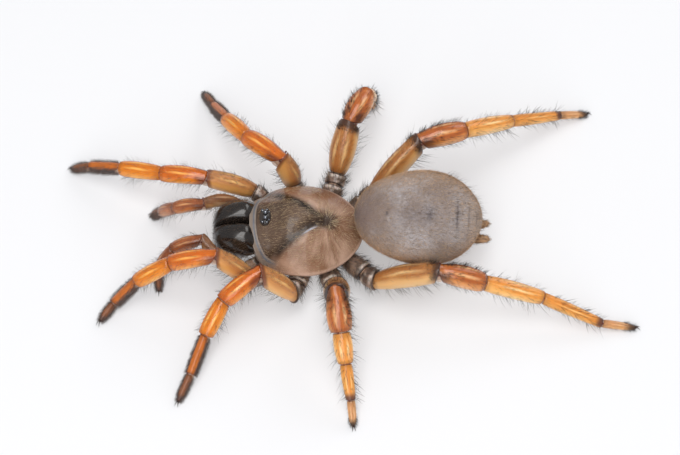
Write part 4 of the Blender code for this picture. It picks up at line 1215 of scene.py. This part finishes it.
# Coat of the limbs. Each row: segments, hairs for each square millimetre, share along from and to,
# degrees round the segment from and to (90 is its back), length from and to, thickness, lift and tint.
hairTints = {"umber": (0.035, 0.026, 0.024), "dark": (0.06, 0.045, 0.04), "brown": (0.16, 0.1, 0.065),
             "straw": (0.5, 0.34, 0.2), "pale": (0.66, 0.5, 0.32), "pad": (0.155, 0.115, 0.1),
             "velvet": (0.44, 0.37, 0.32), "down": (0.3, 0.24, 0.21), "gold": (0.6, 0.42, 0.24)}
coatRows = {
    "front": (
        (("coxa", "trochanter"), 30.0, (0.1, 0.98), (-180, 180), (0.2, 0.75), 0.021, 50, "dark"),
        (("coxa", "trochanter"), 26.0, (0.1, 0.98), (-180, 180), (0.12, 0.3), 0.016, 38, "straw"),
        (("femur",), 9.0, (0.05, 0.95), (190, 350), (0.5, 1.4), 0.023, 64, "umber"),
        (("femur",), 12.0, (0.05, 0.97), (50, 130), (0.3, 0.85), 0.017, 54, "dark"),
        (("femur",), 60.0, (0.05, 0.97), (52, 128), (0.14, 0.34), 0.017, 24, "brown"),
        (("femur",), 30.0, (0.05, 0.97), (48, 132), (0.12, 0.3), 0.015, 24, "gold"),
        (("patella", "tibia"), 12.0, (0.04, 0.97), (-180, 180), (0.25, 0.7), 0.016, 58, "dark"),
        (("patella", "tibia"), 9.0, (0.06, 0.96), (190, 350), (0.45, 1.2), 0.021, 64, "umber"),
        (("patella", "tibia"), 12.0, (0.04, 0.97), (-180, 180), (0.1, 0.24), 0.013, 36, "gold"),
        (("metatarsus",), 14.0, (0.03, 0.97), (-180, 180), (0.2, 0.5), 0.017, 52, "umber"),
        (("tarsus",), 60.0, (0.03, 0.98), (20, 160), (0.14, 0.3), 0.02, 34, "pad"),
    ),
    "pads": (
        (("metatarsus",), 190.0, (0.03, 0.985), (-75, 50), (0.26, 0.36), 0.024, 66, "pad"),
        (("metatarsus",), 190.0, (0.03, 0.985), (130, 255), (0.26, 0.36), 0.024, 66, "pad"),
        (("tarsus",), 210.0, (0.03, 0.97), (-85, 60), (0.22, 0.34), 0.024, 64, "pad"),
        (("tarsus",), 210.0, (0.03, 0.97), (120, 265), (0.22, 0.34), 0.024, 64, "pad"),
    ),
    "rear": (
        (("coxa", "trochanter"), 30.0, (0.1, 0.98), (-180, 180), (0.25, 0.85), 0.022, 50, "umber"),
        (("coxa", "trochanter"), 26.0, (0.1, 0.98), (-180, 180), (0.12, 0.3), 0.016, 38, "straw"),
        (("femur",), 8.0, (0.05, 0.95), (190, 350), (0.5, 1.5), 0.023, 64, "umber"),
        (("femur",), 9.0, (0.05, 0.97), (40, 140), (0.25, 0.7), 0.018, 50, "umber"),
        (("femur",), 60.0, (0.88, 0.99), (20, 160), (0.2, 0.5), 0.026, 55, "umber"),
        (("femur",), 40.0, (0.05, 0.97), (50, 130), (0.14, 0.34), 0.017, 24, "brown"),
        (("femur",), 20.0, (0.05, 0.97), (30, 150), (0.12, 0.3), 0.015, 24, "gold"),
        (("patella",), 14.0, (0.04, 0.97), (-180, 180), (0.25, 0.7), 0.019, 56, "umber"),
        (("patella",), 34.0, (0.0, 0.45), (40, 70), (0.3, 0.6), 0.026, 66, "umber"),
        (("patella",), 50.0, (0.0, 0.5), (105, 155), (0.3, 0.6), 0.026, 66, "umber"),
        (("patella",), 34.0, (0.4, 0.97), (112, 155), (0.3, 0.55), 0.024, 64, "umber"),
        (("tibia",), 11.0, (0.04, 0.97), (-180, 180), (0.25, 0.7), 0.019, 56, "umber"),
        (("tibia",), 3.4, (0.08, 0.97), (180, 360), (0.7, 1.35), 0.032, 64, "umber"),
        (("tibia",), 16.0, (0.04, 0.98), (60, 120), (0.16, 0.3), 0.02, 60, "brown"),
        (("metatarsus",), 14.0, (0.04, 0.97), (-180, 180), (0.2, 0.6), 0.019, 56, "umber"),
        (("metatarsus",), 4.5, (0.1, 0.98), (-180, 180), (0.5, 1.1), 0.032, 58, "umber"),
        (("tarsus",), 24.0, (0.04, 0.66), (-180, 180), (0.15, 0.35), 0.018, 45, "dark"),
        (("tarsus",), 150.0, (0.62, 0.97), (-180, 180), (0.16, 0.36), 0.021, 50, "umber"),
    ),
}


# spread of the hairs round their lie, in millimetres and degrees, and how a hair bends; the spreads of
# thickness and tint are shares, and hairs up to the straight length are simple spikes
hairForm = {"sunk": 0.025, "sway": 0.16, "liftSpread": 9, "lifts": (8, 86), "droop": 0.35, "curl": 0.05,
            "thicknesses": (0.75, 1.15), "tints": (0.75, 1.3), "straight": 0.36}


def humpOf(values, centre, width):
    return np.clip(1 - np.abs(values - centre) / width, 0, 1)


def unit(rows):
    return rows / np.maximum(np.linalg.norm(rows, axis=1, keepdims=True), 1e-9)


def alongSkin(way, outward, share=1.0):
    # the way with what points out of the skin taken off
    way = np.atleast_2d(way)
    return unit(way - outward * np.sum(way * outward, axis=1, keepdims=True) * share)


def limbRoots(part, density, shares, angles, atlas):
    # roots, outward ways, lie and map places of hairs spread over part of one segment
    start, end = np.array(part["start"]), np.array(part["end"])
    across, up, axis = (np.array(row) for row in segmentFrame(part["start"], part["end"]))
    length = np.linalg.norm(end - start)
    widths, heights = part["sizes"]
    arc = (widths[1] + heights[1]) / 2 * math.radians(abs(angles[1] - angles[0])) / 2
    count = max(4, int(arc * length * (shares[1] - shares[0]) * density))
    t = chance.uniform(*shares, count)
    turn = np.radians(chance.uniform(*angles, count))
    girth = np.interp(t, *zip(*limbForm["girth"][part["kind"]]))
    share = part["span"][0] + (part["span"][1] - part["span"][0]) * t
    wide, deep = (between(sizes, share) * girth / 2 for sizes in (widths, heights))
    wide = wide * part["slim"]
    swell = np.sin(math.pi * t)
    centre = (start + np.outer(t * length, axis) + np.outer(swell * limbForm["arch"][part["kind"]], up)
              - np.outer(swell * part["bow"], across))
    outward = unit(np.outer(np.cos(turn) / wide, across) + np.outer(np.sin(turn) / deep, up))
    root = centre + np.outer(np.cos(turn) * wide, across) + np.outer(np.sin(turn) * deep, up)
    root = root - outward * hairForm["sunk"]
    keep = np.ones(count, bool)
    for point, normal in filter(None, part["cuts"]):
        keep &= (root - np.array(point)) @ np.array(normal) < -0.03
    spot = np.stack([(atlas + t) / 7, (turn / math.tau) % 1.0], axis=1)
    return root[keep], outward[keep], np.tile(axis, (keep.sum(), 1)), spot[keep]


def hairStrip(field, mask, lengths, thickness, lift, tint):
    # one class of hairs, ready for sewCoat; a field is roots, outward ways, lie and map places
    root, outward, lie, spot = (rows[mask] for rows in field)
    count = len(root)
    sway = chance.normal(0, hairForm["sway"], (count, 3))
    lifts = np.clip(chance.normal(lift, hairForm["liftSpread"], count), *hairForm["lifts"])
    lifts = np.radians(lifts)[:, None]
    return {"root": root, "way": unit(outward * np.sin(lifts) + lie * np.cos(lifts) + sway), "spot": spot,
            "bend": lie * (np.cos(lifts) * hairForm["droop"] + hairForm["curl"]),
            "length": chance.uniform(*lengths, count),
            "thick": np.full(count, thickness / 2) * chance.uniform(*hairForm["thicknesses"], count),
            "tint": np.array(hairTints[tint]) * chance.uniform(*hairForm["tints"], (count, 1)),
            "bent": max(lengths) > hairForm["straight"]}


# corners of the small patch that each hair has on the OFBake map
hairPatch = ((0.0, 0.0), (0.003, 0.0), (0.0015, 0.003), (0.0008, 0.0005), (0.0022, 0.0005), (0.0015, 0.002),
             (0.0015, 0.001))


def spikeFaces(corners):
    # faces of one closed three-sided spike: its root, the sides between its rings, and its tip
    faces = [(0, 2, 1)]
    turns = ((0, 1), (1, 2), (2, 0))
    for low in range(0, corners - 4, 3):
        for i, j in turns:
            faces += [(low + i, low + j, low + 3 + j), (low + i, low + 3 + j, low + 3 + i)]
    return np.array(faces + [(corners - 4 + i, corners - 4 + j, corners - 1) for i, j in turns])


def spikeRings(strip):
    # corners of all the hairs of a strip: a ring at the root, one halfway if they bend, and the tip
    way = strip["way"]
    aside = np.where(np.abs(way[:, 2:3]) < 0.9, [[0.0, 0.0, 1.0]], [[1.0, 0.0, 0.0]])
    first = unit(np.cross(way, aside))
    second = np.cross(way, first)
    rings = []
    for share, girth in ((0.0, 1.0), (0.5, 0.75)) if strip["bent"] else ((0.0, 1.0),):
        centre = strip["root"] + (way * share + strip["bend"] * share ** 2) * strip["length"][:, None]
        rings += [centre + (first * math.cos(a) + second * math.sin(a)) * (strip["thick"] * girth)[:, None]
                  for a in (0.0, math.tau / 3, 2 * math.tau / 3)]
    rings.append(strip["root"] + (way + strip["bend"]) * strip["length"][:, None])
    return np.stack(rings, axis=1)


def sewCoat(name, strips):
    # one mesh of closed three-sided spikes; every spike has its patch of the OFBake map at its root's place
    points, faces, spots, tints = [], [], [], []
    size = 0
    for strip in strips:
        count = len(strip["root"])
        if not count:
            continue
        body = spikeRings(strip)
        each = body.shape[1]
        starts = size + np.arange(count) * each
        patch = np.array(hairPatch[:each - 1] + hairPatch[-1:])
        faces.append((spikeFaces(each)[None] + starts[:, None, None]).reshape(-1, 3))
        spots.append((np.clip(strip["spot"], 0, 0.996)[:, None, :] + patch[None]).reshape(-1, 2))
        tints.append(np.repeat(strip["tint"], each, axis=0))
        points.append(body.reshape(-1, 3))
        size += count * each
    points, faces, spots, tints = (np.concatenate(rows) for rows in (points, faces, spots, tints))
    points = points * mm + np.array(middle)
    points[:, 2] = np.clip(points[:, 2], 0.00001, cadBox[1][2] + 0.00015)
    mesh = bpy.data.meshes.new(name)
    mesh.vertices.add(len(points))
    mesh.vertices.foreach_set("co", points.ravel())
    mesh.loops.add(faces.size)
    mesh.loops.foreach_set("vertex_index", faces.ravel())
    mesh.polygons.add(len(faces))
    mesh.polygons.foreach_set("loop_start", np.arange(0, faces.size, 3))
    mesh.update(calc_edges=True)
    bake = mesh.uv_layers.new(name="OFBake")
    bake.data.foreach_set("uv", spots[faces.ravel()].ravel())
    tint = mesh.attributes.new("tint", "FLOAT_COLOR", "POINT")
    tint.data.foreach_set("color", np.column_stack([np.clip(tints, 0, 1), np.ones(len(tints))]).ravel())
    mesh.shade_smooth()
    coat = bpy.data.objects.new(name, mesh)
    bpy.context.scene.collection.objects.link(coat)
    paint(coat, hairMaterial)
    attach(coat, "root")


def limbCoat(name, limb):
    rows = coatRows["front"] + coatRows["pads"] if limb["pair"] in padPairs else coatRows["rear"]
    strips = []
    for kinds, density, shares, angles, *look in rows:
        for atlas, part in enumerate(limbParts[name]):
            if part["kind"] in kinds:
                field = limbRoots(part, density, shares, angles, atlas)
                strips.append(hairStrip(field, slice(None), *look))
    sewCoat(name + "_hairs", strips)


def scatter(piece, count):
    # points spread evenly over a finished piece, in the animal's millimetres, with their outward ways
    spots = [np.array(vert.co) for vert in piece.data.vertices]
    corners = []
    for face in piece.data.polygons:
        ring = [spots[index] for index in face.vertices]
        centre = sum(ring) / len(ring)
        corners += [(near, far, centre) for near, far in zip(ring, ring[1:] + ring[:1])]
    corners = (np.array(corners) - np.array(middle)) / mm
    # Blender orders the faces anew in each run, so they are sorted by their places
    order = np.lexsort(np.round(corners.mean(axis=1), 4).T)
    near, far, centre = corners[order].transpose(1, 0, 2)
    flat = np.cross(far - near, centre - near)
    area = np.linalg.norm(flat, axis=1)
    chosen = chance.choice(len(area), count, p=area / area.sum())
    a, b = chance.random((2, count, 1))
    over = (a + b) > 1
    a, b = np.where(over, 1 - a, a), np.where(over, 1 - b, b)
    root = near[chosen] * (1 - a - b) + far[chosen] * a + centre[chosen] * b
    return root, unit(flat[chosen])


sceneRig()
hairMaterial = hairFinish()
for limbName, limb in limbs.items():
    dressLimb(limbName, limb)
    limbCoat(limbName, limb)
print("limbs done")


def settle(piece, finish, slot, *nodes):
    paint(piece, finish)
    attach(piece, "root")
    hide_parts(*nodes)


shieldPiece = modelShield()
settle(shieldPiece, shieldFinish(), "carapace_shell", "carapace")
bellyPiece = modelBelly()
settle(bellyPiece, bellyFinish(), "abdomen_skin", "abdomen")
jawHorn = jawFinish()
jawPieces = [modelJaw("jaw_left", 1), modelJaw("jaw_right", -1)]
for piece, node in zip(jawPieces, ("chelicera_left", "chelicera_right")):
    settle(piece, jawHorn, "chelicera_shell", node)
settle(modelFangs(), plainFinish("fang_horn", (0.03, 0.008, 0.005), (0.08, 0.02, 0.01), 1200, 0.18, 0.6),
       "fang_shell", "fang_left", "fang_right")
settle(modelEyeHill(),
       plainFinish("eye_hill_horn", (0.012, 0.01, 0.01), (0.04, 0.03, 0.025), 2500, 0.35, 0.2),
       "eye_shell", "eye_group")
lenses = modelLenses()
paint(lenses, eyeFinish())
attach(lenses, "root")
settle(modelBreastplate(),
       plainFinish("breastplate_horn", (0.4, 0.24, 0.13), (0.5, 0.33, 0.2), 700, 0.45, 0.1),
       "sternum_shell", "sternum")
settle(sweep("waist", [waistPath], 20),
       plainFinish("waist_skin", (0.3, 0.22, 0.17), (0.45, 0.36, 0.3), 1500, 0.6), "pedicel_skin", "pedicel")
spinnerPiece = modelSpinners()
settle(spinnerPiece, plainFinish("spinneret_skin", (0.34, 0.17, 0.07), (0.5, 0.3, 0.16), 1800, 0.6),
       "spinneret_skin", "spinneret_left", "spinneret_right")
print("body done")


# A look is lengths from and to, thickness, lift in degrees and tint
shieldHair = {"count": 8000, "back": ((0.16, 0.36), 0.014, 16), "tuft": ((0.3, 0.6), 0.024, 32),
              # shares of the hairs kept near the edge and on the far flank, lost in the grooves, and pale
              "edge": 0.45, "farFlank": 0.45, "grooves": 0.6, "pale": 0.6,
              "tuftCount": 240, "tuftPale": 150, "tuftReach": (0.25, 0.75)}


def shieldCoat():
    root, outward = scatter(shieldPiece, shieldHair["count"])
    above = outward[:, 2] > 0.05
    root, outward = root[above], outward[above]
    x, y = root[:, 0], root[:, 1]
    spot = np.stack([0.5 + x / 10, 0.5 + y / 14], axis=1)
    away = unit(np.stack([x, y - 0.3, np.zeros(len(root))], axis=1))
    back = np.array([[0.0, 1.0, 0.0]])
    lie = unit(np.where(y[:, None] > -0.5, away, unit(back - away * 0.4)))
    field = (root, outward, alongSkin(lie, outward), spot)
    edge = np.hypot(x / shield["halfWidth"], (y - shield["centreY"]) / shield["front"])
    share = np.where(edge > 0.86, shieldHair["edge"], 1.0) * np.where(x < -1.6, shieldHair["farFlank"], 1.0)
    kept = (chance.random(len(root)) < share) & (y > -5.35)
    groove = np.abs(np.abs(x) * 0.81 + y * 0.58) < 0.35
    kept &= ~(groove & (chance.random(len(root)) < shieldHair["grooves"]))
    pale = chance.random(len(root)) < shieldHair["pale"]
    strips = [hairStrip(field, mask, *shieldHair["back"], tint)
              for mask, tint in ((kept & pale, "pale"), (kept & ~pale, "gold"))]
    # the tuft that stands round the pit
    count = shieldHair["tuftCount"]
    turn = chance.uniform(0, math.tau, count)
    out = np.stack([np.cos(turn), np.sin(turn), np.zeros(count)], axis=1)
    reach = chance.uniform(*shieldHair["tuftReach"], count)[:, None]
    base = out * reach + np.array([[0.0, 0.15, 0.0]])
    base[:, 2] = [shieldTop(x, y, min(0.9, math.hypot(x / shield["halfWidth"], (y - shield["centreY"])
                                                      / shield["front"])), 1.0) for x, y, _ in base]
    tuft = (base, np.tile([[0.0, 0.0, 1.0]], (count, 1)), out, base[:, :2] / 10 + 0.5)
    half = shieldHair["tuftPale"]
    strips += [hairStrip(tuft, part, *shieldHair["tuft"], tint)
               for part, tint in ((slice(half), "pale"), (slice(half, None), "dark"))]
    sewCoat("shield_hairs", strips)


bellyHair = {"count": 70000, "lie": (0.0, 1.0, -0.15), "rearFrom": 2.2, "crown": (1.1, 1.06, 1.06),
             "side": (1.36, 1.16, 1.0), "patches": 0.12,
             # shares of all hairs at which the down, the gold hairs and the bristles start
             "kinds": (0.46, 0.78, 0.982)}


def bellyShade(root, off):
    # the hairs take up the marks of the skin below them
    tilt = math.radians(belly["tilt"])
    level = off[:, 1] * math.cos(tilt) - off[:, 2] * math.sin(tilt)
    height = off[:, 1] * math.sin(tilt) + off[:, 2] * math.cos(tilt)
    behind = (level + 0.06) / (belly["size"][1] / 2)
    roll = np.arctan2(off[:, 0], height) / math.pi - bellyMarks["roll"]
    # paler, warmer hairs towards the sides, partly their own tan and partly painted light scattered through
    # the fringe
    edge = np.clip((np.abs(roll) - 0.14) / 0.35, 0, 1)[:, None]
    shade = (1 - edge) * np.array([bellyHair["crown"]]) + edge * np.array([bellyHair["side"]])
    x, y = root[:, 0], root[:, 1]
    patches = np.sin(x * 2.1 + 1.7 * np.sin(y * 1.3)) * np.sin(y * 1.9 + 1.1 * x)
    shade *= (1 + bellyHair["patches"] * patches)[:, None]
    # darker towards the front; paler towards the rear, partly painted light as on the skin
    shade *= (1 - 0.25 * humpOf(behind, -1.0, 0.5) + 0.2 * humpOf(behind, 1.0, 0.5))[:, None]
    shade *= (1 - 0.35 * humpOf(roll, 0.0, 0.15) * humpOf(behind, -0.1, 0.5))[:, None]
    for place, wide, long, strength in bellyMarks["bars"]:
        bar = humpOf(behind, place, long * 1.6) * humpOf(roll, 0.0, wide) ** 0.5
        shade *= (1 - strength * bar)[:, None]
    return shade


def bellyCoat():
    root, outward = scatter(bellyPiece, bellyHair["count"])
    off = root - np.array(belly["centre"])
    spot = np.stack([(np.arctan2(off[:, 0], off[:, 2]) / math.tau + 0.5) % 1, off[:, 1] / 11 + 0.5], axis=1)
    field = (root, outward, alongSkin(bellyHair["lie"], outward), spot)
    shade = bellyShade(root, off)
    kind = np.digitize(chance.random(len(root)), bellyHair["kinds"])
    rear = off[:, 1] > bellyHair["rearFrom"]
    down, hairs = [], []
    for strips, mask, *look in ((down, kind == 0, (0.09, 0.2), 0.012, 28, "velvet"),
                                (hairs, kind == 1, (0.09, 0.2), 0.012, 28, "down"),
                                (hairs, kind == 2, (0.14, 0.3), 0.012, 30, "gold"),
                                (down, (kind == 3) & ~rear, (0.2, 0.4), 0.012, 40, "brown"),
                                (down, (kind == 3) & rear, (0.35, 0.85), 0.015, 66, "dark")):
        strips.append(hairStrip(field, mask, *look))
        strips[-1]["tint"] *= shade[mask]
    sewCoat("belly_down", down)
    sewCoat("belly_hairs", hairs)


jawHair = {"count": 1800, "lie": (0.0, -1.0, -0.35), "from": -6.1, "tipFrom": -8.1, "flankFrom": 1.5,
           "share": 0.6, "tip": ((0.15, 0.36), 0.018, 30, "dark"),
           "flank": ((0.2, 0.5), 0.014, 42, "brown"), "rest": ((0.12, 0.26), 0.012, 16, "brown")}


def jawCoat():
    strips = []
    for index, piece in enumerate(jawPieces):
        root, outward = scatter(piece, jawHair["count"])
        x, y = root[:, 0], root[:, 1]
        spot = np.stack([(index + np.clip(0.5 + x / 6, 0, 1)) / 2 % 1, (-y - 5) / 5], axis=1)
        field = (root, outward, alongSkin(jawHair["lie"], outward), spot)
        shown = y < jawHair["from"]
        tip = shown & (y < jawHair["tipFrom"])
        flank = shown & ~tip & (np.abs(x) > jawHair["flankFrom"]) & (outward[:, 2] < 0.75)
        rest = shown & ~tip & ~flank & (chance.random(len(root)) < jawHair["share"])
        strips += [hairStrip(field, mask, *jawHair[look])
                   for mask, look in ((tip, "tip"), (flank, "flank"), (rest, "rest"))]
    sewCoat("jaw_hairs", strips)


spinnerHair = {"count": 1300, "from": 11.9, "look": ((0.14, 0.3), 0.02, 32)}


def spinnerCoat():
    root, outward = scatter(spinnerPiece, spinnerHair["count"])
    shown = root[:, 1] > spinnerHair["from"]
    root, outward = root[shown], outward[shown]
    spot = np.stack([0.5 + root[:, 0] / 4, (root[:, 1] - 11) / 3], axis=1)
    field = (root, outward, alongSkin((0.0, 1.0, 0.0), outward, 0.9), spot)
    half = len(root) // 2
    sewCoat("spinneret_hairs", [hairStrip(field, part, *spinnerHair["look"], tint)
                                for part, tint in ((slice(half), "brown"), (slice(half, None), "straw"))])


shieldCoat()
bellyCoat()
jawCoat()
spinnerCoat()
print("coats done")
